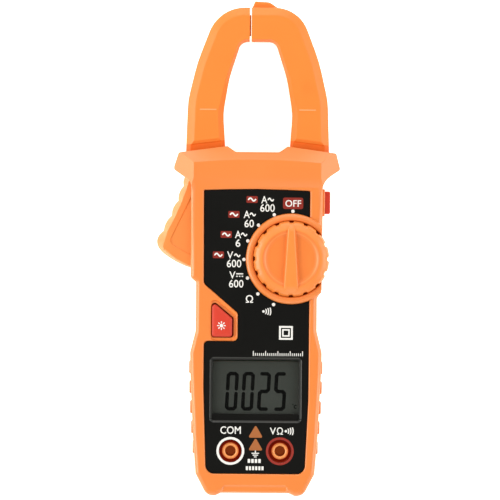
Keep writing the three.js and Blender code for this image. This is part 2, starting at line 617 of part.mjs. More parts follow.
function movingJaw() {
  const arm = ring.intersect(join(tipLeft(MOVING_END), baseLeft(-11)));
  const tongue = box(MOVING_END - 1, TONGUE_END, 110.1, 118, JAW_BACK + 1.6, JAW_FRONT - 1.6);
  const outer = join(arm, tongue, lever());
  const bore = post(PIVOT, PIN_RADIUS + PIN_CLEARANCE, 0, 40, 48);
  // A hollow in the trigger, open at the parting plane, keeps the moulding thin.
  const hollow = plate([[-34, 31.5, 1], [-21.5, 22.5, 1], [-17.5, 43, 1], [-28.5, 46, 1]], 10.2, 19.8);
  return cut(outer, coreRoom, bore, hollow);
}

const fixed = fixedJaw();
place("fixed_jaw_front_shell", frontHalf(fixed), ORANGE);
place("fixed_jaw_rear_shell", rearHalf(fixed), ORANGE);
place("fixed_core", core.intersect(join(tipRight(FIXED_END), baseRight(CORE_BASE_SPLIT + 0.1))), IRON);
place("fixed_coil", cut(
  box(-6.4, 6.4, CORE_BASE[0] - 1.6, CORE_BASE[1] + 1, CORE_BACK - 1.8, CORE_FRONT + 1.8),
  box(-10, 10, CORE_BASE[0] - 0.1, CORE_BASE[1] + 0.1, CORE_BACK - 0.1, CORE_FRONT + 0.1)), COPPER);
const moving = movingJaw();
const jawGroup = new THREE.Group();
jawGroup.name = "moving_jaw";
meter.add(jawGroup);
place("moving_jaw_front_shell", frontHalf(moving), ORANGE, jawGroup);
place("moving_jaw_rear_shell", rearHalf(moving), ORANGE, jawGroup);
const movingCore = core.intersect(join(tipLeft(TONGUE_END), baseLeft(CORE_BASE_SPLIT - 0.1)));
place("moving_core", movingCore, IRON, jawGroup);

place("pivot_pin", post(PIVOT, PIN_RADIUS, 2.7, 25.5, 48), STEEL);
const returnSpring = wire(new Coil(4.25, 0, 3.4, 4.4, 4.4, 5), 0.4, 64, 5);
place("return_spring", returnSpring, STEEL).position.set(...PIVOT, 3.5);

// Coil lead from the winding down to the board.
const leadRoute = new THREE.CatmullRomCurve3([
  new THREE.Vector3(5, 52.7, 12),
  new THREE.Vector3(6, 51.4, 14),
  new THREE.Vector3(7, 50.6, 17),
  new THREE.Vector3(7, 50.4, 19.8),
]);
place("coil_lead", wire(leadRoute, 0.5, 12), BLACK);

// ---------------------------------------------------------------- range knob
function knobShape() {
  const skirt = [];
  const notch = [[-4.6, 0], [-3, 0.65], [3, 0.65], [4.6, 0]]; // degrees from its middle, depth
  for (let i = 0; i < DETENTS; i++) {
    for (const [offset, depth] of notch) {
      const angle = (i * 360 / DETENTS + offset) * DEG;
      skirt.push(new THREE.Vector2(Math.cos(angle), Math.sin(angle)).multiplyScalar(KNOB_RADIUS - depth));
    }
  }
  const crown = turned([[0, 30], [13.9, 30], [13.9, 32.8], [11.4, 33.95], [0, 33.95], [0, 30]], [0, 0], 48);
  const disc = join(raised(skirt, POCKET_FLOOR + 0.3, 32.9, 0.5, 1), crown);
  // A dished hollow leaves a tapering finger ridge that points to the setting.
  const dish = turned([[0, 33.1], [8.8, 33.1], [10.6, 33.8], [11.4, 34.1], [11.4, 40], [0, 40]], [0, 0], 32);
  const ridge = plate(mirrored([[2.75, -12.3, 1.2], [1.3, 12.5, 1]]), 27, KNOB_TOP, 0, 0.6, 1);
  const stem = join(post([0, 0], 4, 23.8, 28, 48), post([0, 0], 2.2, 22, 25, 6));
  return join(cut(disc, dish), ridge, stem);
}

function rotorShape() {
  const teeth = [];
  for (let i = 0; i < DETENTS * 2; i++) {
    const angle = (i * Math.PI) / DETENTS;
    teeth.push(new THREE.Vector2(Math.cos(angle), Math.sin(angle)).multiplyScalar(i % 2 ? 8.2 : 8.8));
  }
  return cut(raised(teeth, 22, 23.7), post([0, 0], 2.3, 20, 30, 6));
}

// A contact strip on the underside of the rotor.
function wiper(inner, outer) {
  const strip = cut(post([0, 0], outer, 21.7, 21.95, 40), post([0, 0], inner, 20, 24, 40));
  return strip.intersect(box(-20, 20, 2, 20, 20, 24));
}

const knob = new THREE.Group();
knob.name = "range_knob";
knob.position.set(...KNOB, 0);
meter.add(knob);
place("knob", knobShape(), ORANGE, knob);
place("knob_rotor", rotorShape(), WHITE, knob);
place("knob_wiper_inner", wiper(3.8, 4.8), COPPER, knob);
place("knob_wiper_outer", wiper(6.2, 7.2), COPPER, knob);
const detentSpring = join(
  box(-2.6, 2.6, 9.6, 10, 22, 23.7),
  box(-0.6, 0.6, 9, 9.8, 22.2, 23.5),
  box(-2.6, -2.2, 9.6, 11, 22, 23.7),
);
place("detent_spring", detentSpring, STEEL).position.set(...KNOB, 0);

// ---------------------------------------------------------------- push buttons and their switches
function lightButton() {
  const cap = plate(LIGHT_BUTTON_OUTLINE, CAVITY_TOP - 0.7, 31, 0, 0.3, 1);
  const flange = plate(LIGHT_BUTTON_OUTLINE, CAVITY_TOP - 0.75, CAVITY_TOP - 0.05, 0.9);
  return join(cap, flange);
}
const LIGHT_SWITCH = [-13.1, 0];
const SWITCH_SIZE = 6;
function lightSwitch() {
  const [x, y] = LIGHT_SWITCH;
  const half = SWITCH_SIZE / 2;
  const body = box(x - half, x + half, y - half, y + half, BOARD_FRONT + 0.05, 24.6);
  return cut(body, post(LIGHT_SWITCH, 1.8, 22.6, 30));
}
place("light_button", lightButton(), RED);
place("light_button_plunger", post(LIGHT_SWITCH, 1.7, 23.4, CAVITY_TOP - 0.8), BLACK);
place("light_switch", lightSwitch(), BLACK);

function holdButton() {
  const { y0, y1, z0, z1, out } = HOLD_BUTTON;
  const cap = box(21.4, out, y0, y1, z0, z1);
  const flange = box(21.4, 22.4, y0 - 0.8, y1 + 0.8, z0 - 0.6, z1 + 0.6);
  const lowCut = cutBeyond(cap, [out, y0 + 0.6, 0], [1, -1, 0]);
  return join(cutBeyond(lowCut, [out, y1 - 0.6, 0], [1, 1, 0]), flange);
}
function holdSwitch() {
  const body = box(15.2, 19, 42.75, 48.75, BOARD_FRONT + 0.05, 25);
  return cut(body, box(17.2, 20, 44.6, 46.9, 22.3, 24.3));
}
place("hold_button", holdButton(), RED);
place("hold_button_plunger", box(18, 21.3, 44.7, 46.8, 22.4, 24.2), BLACK);
place("hold_switch", holdSwitch(), BLACK);

export default meter;
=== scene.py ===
"""A hand-held AC clamp meter on a pale floor.

Shapes are drawn in millimetres and scaled to metres as each piece is placed.
"""
import math

import bmesh
import bpy
from mathutils import Matrix, Vector


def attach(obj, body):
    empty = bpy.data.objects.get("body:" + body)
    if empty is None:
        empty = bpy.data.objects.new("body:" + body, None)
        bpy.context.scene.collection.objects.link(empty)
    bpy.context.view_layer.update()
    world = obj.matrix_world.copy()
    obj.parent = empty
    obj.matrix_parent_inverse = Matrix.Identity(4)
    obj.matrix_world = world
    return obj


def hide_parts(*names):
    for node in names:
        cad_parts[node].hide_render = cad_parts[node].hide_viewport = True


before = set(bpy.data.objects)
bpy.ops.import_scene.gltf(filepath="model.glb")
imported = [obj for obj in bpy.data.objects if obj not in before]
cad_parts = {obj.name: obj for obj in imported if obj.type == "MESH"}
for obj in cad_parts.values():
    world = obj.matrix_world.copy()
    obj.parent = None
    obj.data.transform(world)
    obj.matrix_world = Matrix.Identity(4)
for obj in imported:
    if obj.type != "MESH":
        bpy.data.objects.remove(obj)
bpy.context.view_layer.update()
MM = 0.001
ARC = math.radians(7)

# ------------------------------------------------------------------ dimensions of the frame, in mm
FRONT, PARTING, SEAM = 30.0, 15.0, 0.1
EDGE = 1.8
WALL = 2.2
PANEL_FLOOR, PANEL_TOP = 28.3, 29.5
CAVITY_TOP = PANEL_FLOOR - WALL
HOOD_TOP, HOOD_FOLD, HOOD_FOLD_RADIUS, HOOD_SLOPE = 31.2, 62.15, 252.0, 0.846
JAW_BACK, JAW_FRONT, JAW_CHAMFER, JAW_CHAMFER_DEPTH = 7.5, 22.5, 3.0, 2.2
FIXED_END, MOVING_END, TONGUE_END = -2.68, -3.35, -2.83
PIVOT = (-16.5, 50.0)
TRIGGER_REACH = 31.05
TRIGGER_NOTCHES = [(-28.35, 51.9), (-30.4, 46.1), (-32.95, 40.3), (-35.95, 34.5)]
TRIGGER_SCALLOP = 1.4
LEVER_BACK, LEVER_FRONT = 8.0, 22.0
KNOB = (13.3, 24.0)
KNOB_RADIUS = 14.2
KNOB_TOP = 34.6
POCKET_RADIUS, POCKET_FLOOR = 14.75, 26.0
COLLAR_RADIUS, COLLAR_TOP = 17.45, 31.3
COLLAR_TRIM = 24.9
SOCKET_POST, SOCKET_WELL, SOCKET_STEM, SOCKET_BORE = 27.2, 4.3, 3.2, 2.02
SOCKET_RING = (5.36, 4.45)
SOCKETS = [(-9.525, -50.1), (9.525, -50.1)]
CASE_SCREWS = [(0, 48), (-18.5, 10.6), (18.5, 4.6), (-17.3, -58.2), (17.3, -58.2)]
DOOR = {"x": 14.0, "low": -42.5, "high": 16.0, "screw": 12.6}
HOLD = {"y0": 41.4, "y1": 50.1, "z0": 19.0, "z1": 25.0, "out": 28.2}
RIB = {"count": 5, "first": -18, "pitch": 7.7, "half": 2.4, "out": 25.75}


def mirrored(corners):
    """The right half of an outline with its left half added."""
    return corners + [(-x, y, r) for x, y, r in reversed(corners)]


def rectangle(x0, x1, y0, y1, corner=0.0):
    return [(x1, y0, corner), (x1, y1, corner), (x0, y1, corner), (x0, y0, corner)]


BODY = [
    (13.1, -66.3, 1.0), (15.2, -67.35, 1.2), (18.5, -67.35, 3.9), (22.9, -58.9, 2), (23.95, -45.6, 30), (25.2, -20, 30),
    (25.35, -12, 5), (23.3, -3.8, 4), (23.3, 8.8, 1), (25.15, 12, 2), (25.3, 54, 0), (-25.4, 54, 0), (-25.4, 16.6, 1.9),
    (-23.3, 14.8, 0.6), (-23.3, -4, 4), (-25.35, -12.2, 5), (-25.2, -20, 30), (-23.95, -45.6, 30), (-22.9, -58.9, 2),
    (-18.5, -67.35, 3.9), (-15.2, -67.35, 1.2), (-13.1, -66.3, 1.0),
]
CAVITY = [
    (16.4, -63, 2), (20, -57, 2), (22.4, -20, 0), (22.4, -13, 3), (20.7, -4.5, 3), (20.7, 9.3, 0),
    (22.7, 12.8, 0), (22.7, 56, 0), (-22.7, 56, 0), (-22.7, 17.6, 0), (-20.7, 15.8, 0),
    (-20.7, -4.5, 3), (-22.4, -13, 3), (-22.4, -20, 0), (-20, -57, 2), (-16.4, -63, 2),
]
HEAD = [
    (24.7, 45, 0), (25.05, 53.8, 8), (32, 58.5, 0.9), (30.4, 64.75, 0.9), (11.6, 67.3, 0.6), (8.4, 65.05, 1.6),
    (-8.4, 65.05, 1.6), (-11.6, 67.3, 0.6), (-30.4, 64.75, 0.9), (-32.45, 58.4, 0.9), (-25.2, 53.4, 6), (-24.7, 45, 0),
]
JAW = [
    (27.95, 55.5, 0), (27, 84.9, 30), (23.55, 100.1, 60), (15.6, 120.95, 13.4),
    (-15.3, 120.95, 14.7), (-23.52, 99.5, 60), (-27, 84.9, 30), (-27.95, 55.5, 0),
]
HOLE = mirrored([(11.35, 50, 0), (13.4, 80, 25), (11.17, 93.6, 40), (6.65, 107.75, 3.5)])
FIN = [(-2.7, 117, 0), (7.6, 117, 0), (7.6, 120.8, 0.1), (4.3, 123.1, 3), (-1.4, 123.45, 0.5), (-2.6, 120.6, 0)]
PANEL = [
    (19, -58.8, 3.2), (20.25, -30, 60), (20.35, 50.1, 0.4), (0, 50.9, 300), (-20.4, 50.2, 0.4), (-20.2, 14.3, 2),
    (-7, 3, 1.6), (-7, -7.9, 1.8), (-20, -7.9, 1.6), (-20, -26, 60), (-18.9, -58.8, 3.2),
]
LIGHT = [(-17, -6.2, 1), (-9.25, -6.2, 1), (-9.25, 0.9, 0.9), (-17, 7.5, 1.1)]
LIGHT_HOLE = [(-17.05, -6.3, 1), (-8.85, -6.3, 1), (-8.85, 1.1, 0.9), (-17.05, 7.9, 1.1)]
DISPLAY = rectangle(-16.6, 16.6, -38.1, -15.1, 0.5)
DOOR_OUTLINE = rectangle(-DOOR["x"], DOOR["x"], DOOR["low"], DOOR["high"], 1.2)


# ------------------------------------------------------------------ outlines
def moved_out(corners, grow):
    """The corners of an anticlockwise outline with each edge moved out by grow."""
    n = len(corners)
    edges = []
    for i in range(n):
        a, b = Vector(corners[i][:2]), Vector(corners[(i + 1) % n][:2])
        along = (b - a).normalized()
        edges.append((a + Vector((along.y, -along.x)) * grow, along))
    out = []
    for i, (_, _, radius) in enumerate(corners):
        (pa, da), (pb, db) = edges[i - 1], edges[i]
        turn = da.x * db.y - da.y * db.x
        gap = pb - pa
        t = (gap.x * db.y - gap.y * db.x) / turn
        p = pa + da * t
        r = max(0.05, radius + (grow if turn > 0 else -grow)) if radius else 0
        out.append((p.x, p.y, r))
    return out


def outline(corners, grow=0.0, arc=ARC):
    """Points of a closed outline with rounded corners, moved out by grow."""
    if grow:
        corners = moved_out(corners, grow)
    n = len(corners)
    points = []
    for i, (x, y, radius) in enumerate(corners):
        c = Vector((x, y))
        if not radius:
            points.append((x, y))
            continue
        before = (Vector(corners[i - 1][:2]) - c).normalized()
        after = (Vector(corners[(i + 1) % n][:2]) - c).normalized()
        half = math.acos(max(-1, min(1, before.dot(after)))) / 2
        centre = c + (before + after).normalized() * (radius / math.sin(half))
        turn = math.pi - 2 * half
        side = 1 if after.x * before.y - after.y * before.x > 0 else -1
        steps = max(2, math.ceil(turn / arc - 1e-6))
        first = c + before * (radius / math.tan(half)) - centre
        for k in range(steps + 1):
            a = side * turn * k / steps
            p = centre + Matrix.Rotation(a, 2) @ first
            points.append((p.x, p.y))
    return points


def quarter(edge, steps=5):
    """(grow, depth) pairs down a rounded edge, from the face to the side."""
    out = []
    for k in range(steps + 1):
        a = math.pi / 2 * k / steps
        out.append((-edge * (1 - math.sin(a)), edge * (1 - math.cos(a))))
    return out


def circle(centre, radius, sides):
    turns = [2 * math.pi * i / sides for i in range(sides)]
    return [(centre[0] + radius * math.cos(a), centre[1] + radius * math.sin(a)) for a in turns]


# ------------------------------------------------------------------ solids
def solid(verts, faces):
    mesh = bpy.data.meshes.new("solid")
    mesh.from_pydata(verts, [], faces)
    bm = bmesh.new()
    bm.from_mesh(mesh)
    bmesh.ops.recalc_face_normals(bm, faces=bm.faces)
    bm.to_mesh(mesh)
    bm.free()
    obj = bpy.data.objects.new("solid", mesh)
    bpy.context.scene.collection.objects.link(obj)
    return obj


def stack(levels):
    """A closed body through rings of (x, y) points with equal counts: [(points, z), ...]."""
    n = len(levels[0][0])
    verts = [(x, y, z) for points, z in levels for x, y in points]
    faces = [tuple(reversed(range(n)))]
    for k in range(len(levels) - 1):
        a, b = k * n, (k + 1) * n
        faces += [(a + i, a + (i + 1) % n, b + (i + 1) % n, b + i) for i in range(n)]
    faces.append(tuple((len(levels) - 1) * n + i for i in range(n)))
    return solid(verts, faces)


def loft(corners, levels, arc=ARC):
    """A body through the outline moved out by each level's grow: [(grow, z), ...]."""
    return stack([(outline(corners, g, arc), z) for g, z in levels])


def plate(corners, z0, z1, edge=0.0, base_edge=0.0, steps=5, grow=0.0, arc=ARC):
    """An outline raised from z0 to z1 with rounded top and bottom edges."""
    low = [(grow + g, z0 + d) for g, d in quarter(base_edge, steps)] if base_edge else [(grow, z0)]
    high = [(grow + g, z1 - d) for g, d in reversed(quarter(edge, steps))] if edge else [(grow, z1)]
    return loft(corners, low + high, arc)


def box(x0, x1, y0, y1, z0, z1, edge=0.0, corner=0.0):
    return plate(rectangle(x0, x1, y0, y1, corner), z0, z1, edge, edge, 3)


def turned(profile, centre=(0, 0), sides=96):
    """A closed profile of (radius, height) points turned about a vertical axis."""
    verts, rings = [], []
    for r, z in profile:
        if r < 1e-6:
            rings.append([len(verts)] * sides)
            verts.append((*centre, z))
        else:
            rings.append(list(range(len(verts), len(verts) + sides)))
            verts += [(x, y, z) for x, y in circle(centre, r, sides)]
    faces = []
    n = len(rings)
    for k in range(n):
        a, b = rings[k], rings[(k + 1) % n]
        for i in range(sides):
            j = (i + 1) % sides
            face = list(dict.fromkeys((a[i], a[j], b[j], b[i])))
            if len(face) > 2:
                faces.append(tuple(face))
    return solid(verts, faces)


def post(centre, radius, z0, z1, sides=64, edge=0.0):
    if not edge:
        return turned([(0, z0), (radius, z0), (radius, z1), (0, z1)], centre, sides)
    top = [(radius + g, z1 - d) for g, d in reversed(quarter(edge, 4))]
    return turned([(0, z0), (radius, z0)] + top + [(0, z1)], centre, sides)


def combine(shape, tools, operation):
    """Applies the shape's modifiers, joining or cutting it with the tools, which are used up."""
    for tool in tools:
        m = shape.modifiers.new("b", "BOOLEAN")
        m.operation, m.solver, m.object = operation, "MANIFOLD", tool
    depsgraph = bpy.context.evaluated_depsgraph_get()
    mesh = bpy.data.meshes.new_from_object(shape.evaluated_get(depsgraph))
    shape.modifiers.clear()
    shape.data = mesh
    for tool in tools:
        bpy.data.objects.remove(tool)
    return shape


def join(shape, *tools):
    return combine(shape, tools, "UNION")


def cut(shape, *tools):
    return combine(shape, tools, "DIFFERENCE")


def common(shape, *tools):
    return combine(shape, tools, "INTERSECT")


def moved(shape, matrix):
    shape.data.transform(matrix)
    if matrix.determinant() < 0:
        shape.data.flip_normals()
    return shape


def half_space(point, normal):
    """A big block on the side of a plane that its normal points to."""
    block = box(-200, 200, -200, 200, 0, 200)
    turn = Vector((0, 0, 1)).rotation_difference(Vector(normal).normalized()).to_matrix().to_4x4()
    return moved(block, Matrix.Translation(point) @ turn)


def bevelled(shape, width, segments=3, angle=25):
    m = shape.modifiers.new("bevel", "BEVEL")
    m.width, m.segments, m.limit_method, m.angle_limit = width, segments, "ANGLE", math.radians(angle)
    m.use_clamp_overlap = True
    return combine(shape, [], "UNION")


# ------------------------------------------------------------------ procedural materials
def tune(node, values):
    for name, value in values.items():
        node.inputs[name].default_value = value


def material(name, colour, roughness=0.45, grain=0.0, grain_size=0.35, mottle=0.04, metallic=0.0, specular=0.5,
             coat=0.0, alpha=1.0, emission=0.0, stripes=None):
    """A node material: a base colour with faint mottling, roughness that varies and a moulded or machined grain."""
    m = bpy.data.materials.new(name)
    m.use_nodes = True
    nodes, links = m.node_tree.nodes, m.node_tree.links
    shader = nodes["Principled BSDF"]
    coords = nodes.new("ShaderNodeTexCoord")
    broad = nodes.new("ShaderNodeTexNoise")
    tune(broad, {"Scale": 55, "Detail": 3})
    links.new(coords.outputs["Object"], broad.inputs["Vector"])
    tone = nodes.new("ShaderNodeMix")
    tone.data_type = "RGBA"
    dark, pale = [c * (1 - mottle) for c in colour], [min(1, c * (1 + mottle)) for c in colour]
    tune(tone, {"A": (*dark, 1), "B": (*pale, 1)})
    links.new(broad.outputs["Fac"], tone.inputs["Factor"])
    links.new(tone.outputs["Result"], shader.inputs["Base Color"])
    rough = nodes.new("ShaderNodeMapRange")
    tune(rough, {"To Min": max(0.02, roughness - 0.05), "To Max": roughness + 0.05})
    links.new(broad.outputs["Fac"], rough.inputs["Value"])
    links.new(rough.outputs["Result"], shader.inputs["Roughness"])
    if grain:
        fine = nodes.new("ShaderNodeTexNoise")
        tune(fine, {"Scale": 1000 / grain_size, "Detail": 2})
        links.new(coords.outputs["Object"], fine.inputs["Vector"])
        if stripes:
            stretch = nodes.new("ShaderNodeMapping")
            tune(stretch, {"Scale": stripes})
            links.new(coords.outputs["Object"], stretch.inputs["Vector"])
            links.new(stretch.outputs["Vector"], fine.inputs["Vector"])
        bump = nodes.new("ShaderNodeBump")
        tune(bump, {"Strength": grain, "Distance": 0.00006})
        links.new(fine.outputs["Fac"], bump.inputs["Height"])
        links.new(bump.outputs["Normal"], shader.inputs["Normal"])
    tune(shader, {"Metallic": metallic, "Specular IOR Level": specular, "Coat Weight": coat,
                  "Coat Roughness": 0.12, "Alpha": alpha, "Emission Color": (*colour, 1),
                  "Emission Strength": emission})
    return m


ORANGE = material("body_plastic", (0.83, 0.222, 0.03), 0.4, grain=0.2, specular=1.0)
# Painted light: a paler orange that also glows, lifting the shade that the body's side wall casts on the trigger.
TRIGGER_GLOW = material("trigger_plastic_glow", (0.85, 0.27, 0.048), 0.4, grain=0.2, specular=1.0, emission=0.07)
# Painted shade: a deeper orange for the jaws' band beside the hood, where the hood shades them.
NECK_SHADE = material("neck_painted_shade", (0.8, 0.152, 0.015), 0.5, grain=0.2, specular=0.25)
JAW_ORANGE = material("jaw_plastic", (0.85, 0.235, 0.034), 0.45, grain=0.2, specular=0.4)
# Painted shade: a dark red that glows a little, for the knob pocket's walls down in the gap.
POCKET_SHADE = material("pocket_painted_shade", (0.5, 0.06, 0.012), 0.5, grain=0.2, specular=0.2, emission=0.07)
# Painted highlight: a paler orange for the raised ticks on the jaws, standing in for their lit edge.
TICK_HIGHLIGHT = material("jaw_tick_highlight", (0.9, 0.42, 0.17), 0.45, grain=0.1)
# Painted shade: a dark red that glows a little, for the deep walls of the socket wells.
SOCKET_SHADE = material("socket_painted_shade", (0.7, 0.07, 0.015), 0.4, grain=0.2, specular=0.4, emission=0.06)
# Painted light: the stop at the foot of each socket bore glows so that it shows in the deep well.
SOCKET_STOP_GLOW = material("socket_stop_glow", (0.6, 0.1, 0.02), 0.4, grain=0.1, specular=0.2, emission=0.3)
# Painted light: the top ring of each socket post is a paler orange that glows.
SOCKET_RIM_GLOW = material("socket_rim_glow", (0.9, 0.36, 0.1), 0.35, grain=0.1, specular=0.8, emission=0.25)
KNOB_ORANGE = material("knob_plastic", (0.87, 0.245, 0.036), 0.4, grain=0.12, specular=0.75)
# Painted shade: a darker orange for the knob's sunken dish.
KNOB_DISH_SHADE = material("knob_dish_painted_shade", (0.83, 0.205, 0.029), 0.45, grain=0.12, specular=0.6)
# Painted highlight: a paler black for the sloped faces of the display's bezel.
FRAME_HIGHLIGHT = material("frame_painted_highlight", (0.02, 0.022, 0.021), 0.32, grain=0.1, specular=0.35)
BLACK = material("panel_plastic", (0.005, 0.005, 0.0045), 0.42, grain=0.12, grain_size=0.25, mottle=0.15,
                 specular=0.12)
RED = material("button_plastic", (0.62, 0.045, 0.022), 0.45, grain=0.1, specular=0.4)
WHITE_INK = material("white_ink", (0.8, 0.8, 0.78), 0.55, grain=0.1, mottle=0.02, specular=0.2)
RED_INK = material("red_ink", (0.24, 0.022, 0.014), 0.5, grain=0.1, specular=0.25)
RING_INK = material("ring_ink", (0.3, 0.03, 0.02), 0.5, grain=0.1, specular=0.25)
AMBER_INK = material("amber_ink", (0.38, 0.13, 0.042), 0.5, grain=0.1, specular=0.2)
LCD = material("lcd_cell", (0.05, 0.056, 0.05), 0.35, mottle=0.16, specular=0.08)
LCD_INK = material("lcd_segments", (0.003, 0.003, 0.003), 0.5, specular=0.0)
WINDOW = material("window_plastic", (0.02, 0.022, 0.02), 0.06, mottle=0.02, alpha=0.06, specular=0.3)
STEEL = material("bright_steel", (0.56, 0.57, 0.58), 0.3, grain=0.3, grain_size=0.5, metallic=1,
                 stripes=(300, 300, 4000))
BRASS = material("brass", (0.72, 0.52, 0.22), 0.28, grain=0.2, metallic=1)
COPPER = material("copper_winding", (0.6, 0.24, 0.09), 0.4, grain=0.8, grain_size=0.5, metallic=0.8,
                  stripes=(4000, 200, 200))
IRON = material("core_laminations", (0.3, 0.3, 0.31), 0.45, grain=0.9, grain_size=0.5, metallic=0.9,
                stripes=(60, 60, 3500))
BOARD = material("board_resin", (0.02, 0.12, 0.045), 0.4, grain=0.4, grain_size=0.8, specular=0.5)
BLACK_PART = material("black_moulding", (0.02, 0.02, 0.02), 0.5, grain=0.3)
WHITE_PART = material("white_moulding", (0.75, 0.74, 0.7), 0.5, grain=0.2)
CELL = material("cell_jacket", (0.03, 0.09, 0.3), 0.3, grain=0.1, coat=0.4)
RESISTOR = material("resistor_lacquer", (0.4, 0.13, 0.03), 0.35, grain=0.3, coat=0.5)


# ------------------------------------------------------------------ placing pieces
def place(name, shape, mat, body="housing", replaces=(), sharp=32):
    """Scales a solid to metres, shades it and makes it ride on a CAD body."""
    mesh = shape.data
    mesh.transform(Matrix.Scale(MM, 4))
    bm = bmesh.new()
    bm.from_mesh(mesh)
    bmesh.ops.remove_doubles(bm, verts=bm.verts, dist=2e-6)
    bmesh.ops.dissolve_degenerate(bm, edges=bm.edges, dist=2e-6)
    bm.to_mesh(mesh)
    bm.free()
    mesh.materials.clear()
    mesh.materials.append(mat)
    mesh.shade_smooth()
    mesh.set_sharp_from_angle(angle=math.radians(sharp))
    shape.name = mesh.name = name
    m = shape.modifiers.new("normals", "WEIGHTED_NORMAL")
    m.keep_sharp, m.weight = True, 80
    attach(shape, body)
    if replaces:
        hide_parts(*replaces)
    return shape


# ------------------------------------------------------------------ housing
def side_ribs():
    ribs = []
    for side in (-1, 1):
        for i in range(RIB["count"]):
            y = RIB["first"] - RIB["pitch"] * i
            outer = RIB["out"] - 0.0013 * (y + 14) ** 2
            a, b = sorted((side * (outer - 3), side * outer))
            corners = rectangle(a, b, y - RIB["half"], y + RIB["half"], 0.42)
            ribs.append(plate(corners, 6, 24, 0.4, 0.4, 3, arc=math.radians(15)))
    return ribs


FRONT_FACETS = [((24.6, 0, HOOD_TOP), (7.7, 0, 6.9)), ((-24.6, 0, HOOD_TOP), (-7.7, 0, 6.9)),
                ((0, 55.0, HOOD_TOP), (0, -0.4, 1.2))]
REAR_FACETS = [((26.5, 0, 0), (6.5, 0, -5)), ((-26.5, 0, 0), (-6.5, 0, -5)), ((0, 63.5, 0), (0, 2.5, -2.5))]


def crown():
    """The space under the slope behind the hood's fold, a cone so wide that the fold is a shallow arc."""
    def reach(z):
        return HOOD_FOLD_RADIUS + HOOD_SLOPE * (HOOD_TOP - z)
    return turned([(0, -5), (reach(-5), -5), (reach(40), 40), (0, 40)], (0, HOOD_FOLD - HOOD_FOLD_RADIUS), 720)


def housing_half(front):
    """The outside of one cover, solid, up to a small gap at the parting plane."""
    rounding = quarter(EDGE, 6)
    if front:
        z0 = PARTING + SEAM
        body = [(-0.3, z0), (0, z0 + 0.3)] + [(g, FRONT - d) for g, d in reversed(rounding)]
        head = common(loft(HEAD, [(0, z0), (0, HOOD_TOP)]), crown())
        head = cut(head, *[half_space(*f) for f in FRONT_FACETS])
    else:
        z1 = PARTING - SEAM
        body = [(g, d) for g, d in rounding] + [(0, z1 - 0.3), (-0.3, z1)]
        head = cut(loft(HEAD, [(0, 0), (0, z1)]), *[half_space(*f) for f in REAR_FACETS])
    head = bevelled(head, 1.1, 4)
    slab = box(-60, 60, -90, 90, *((PARTING + SEAM, 60) if front else (-5, PARTING - SEAM)))
    ribs = side_ribs()
    ribs = common(join(ribs[0], *ribs[1:]), slab)
    return join(loft(BODY, body), head, ribs)


def cavity():
    """The room inside both covers and the slots for the jaws and the trigger."""
    back, front = 7.2, 22.8
    return [
        plate(CAVITY, WALL, CAVITY_TOP),
        box(-22.7, 22.7, 50, 62.8, WALL + 0.5, 26.6),
        box(-13, -8, 50, 64.2, back, front),
        box(-28.5, -12, 55.2, 70, back, front),
        box(11.95, 28.25, 55.2, 70, back, front),
        box(-45, -20, PIVOT[1] - TRIGGER_REACH - 0.6, 70, back, front),
    ]


def collar(base):
    """The round rim of the knob's pocket, cut flat at the right flank."""
    profile = [(POCKET_RADIUS, base), (COLLAR_RADIUS, base), (COLLAR_RADIUS, 30.1), (17.35, 30.5), (17.1, 30.85),
               (16.7, 31.12), (16.2, 31.27), (15.8, COLLAR_TOP), (15.4, 31.26), (15.05, 31.12), (14.85, 30.9),
               (POCKET_RADIUS, 30.7)]
    return common(turned(profile, KNOB, 160), box(-60, COLLAR_TRIM, -90, 90, 0, 60))


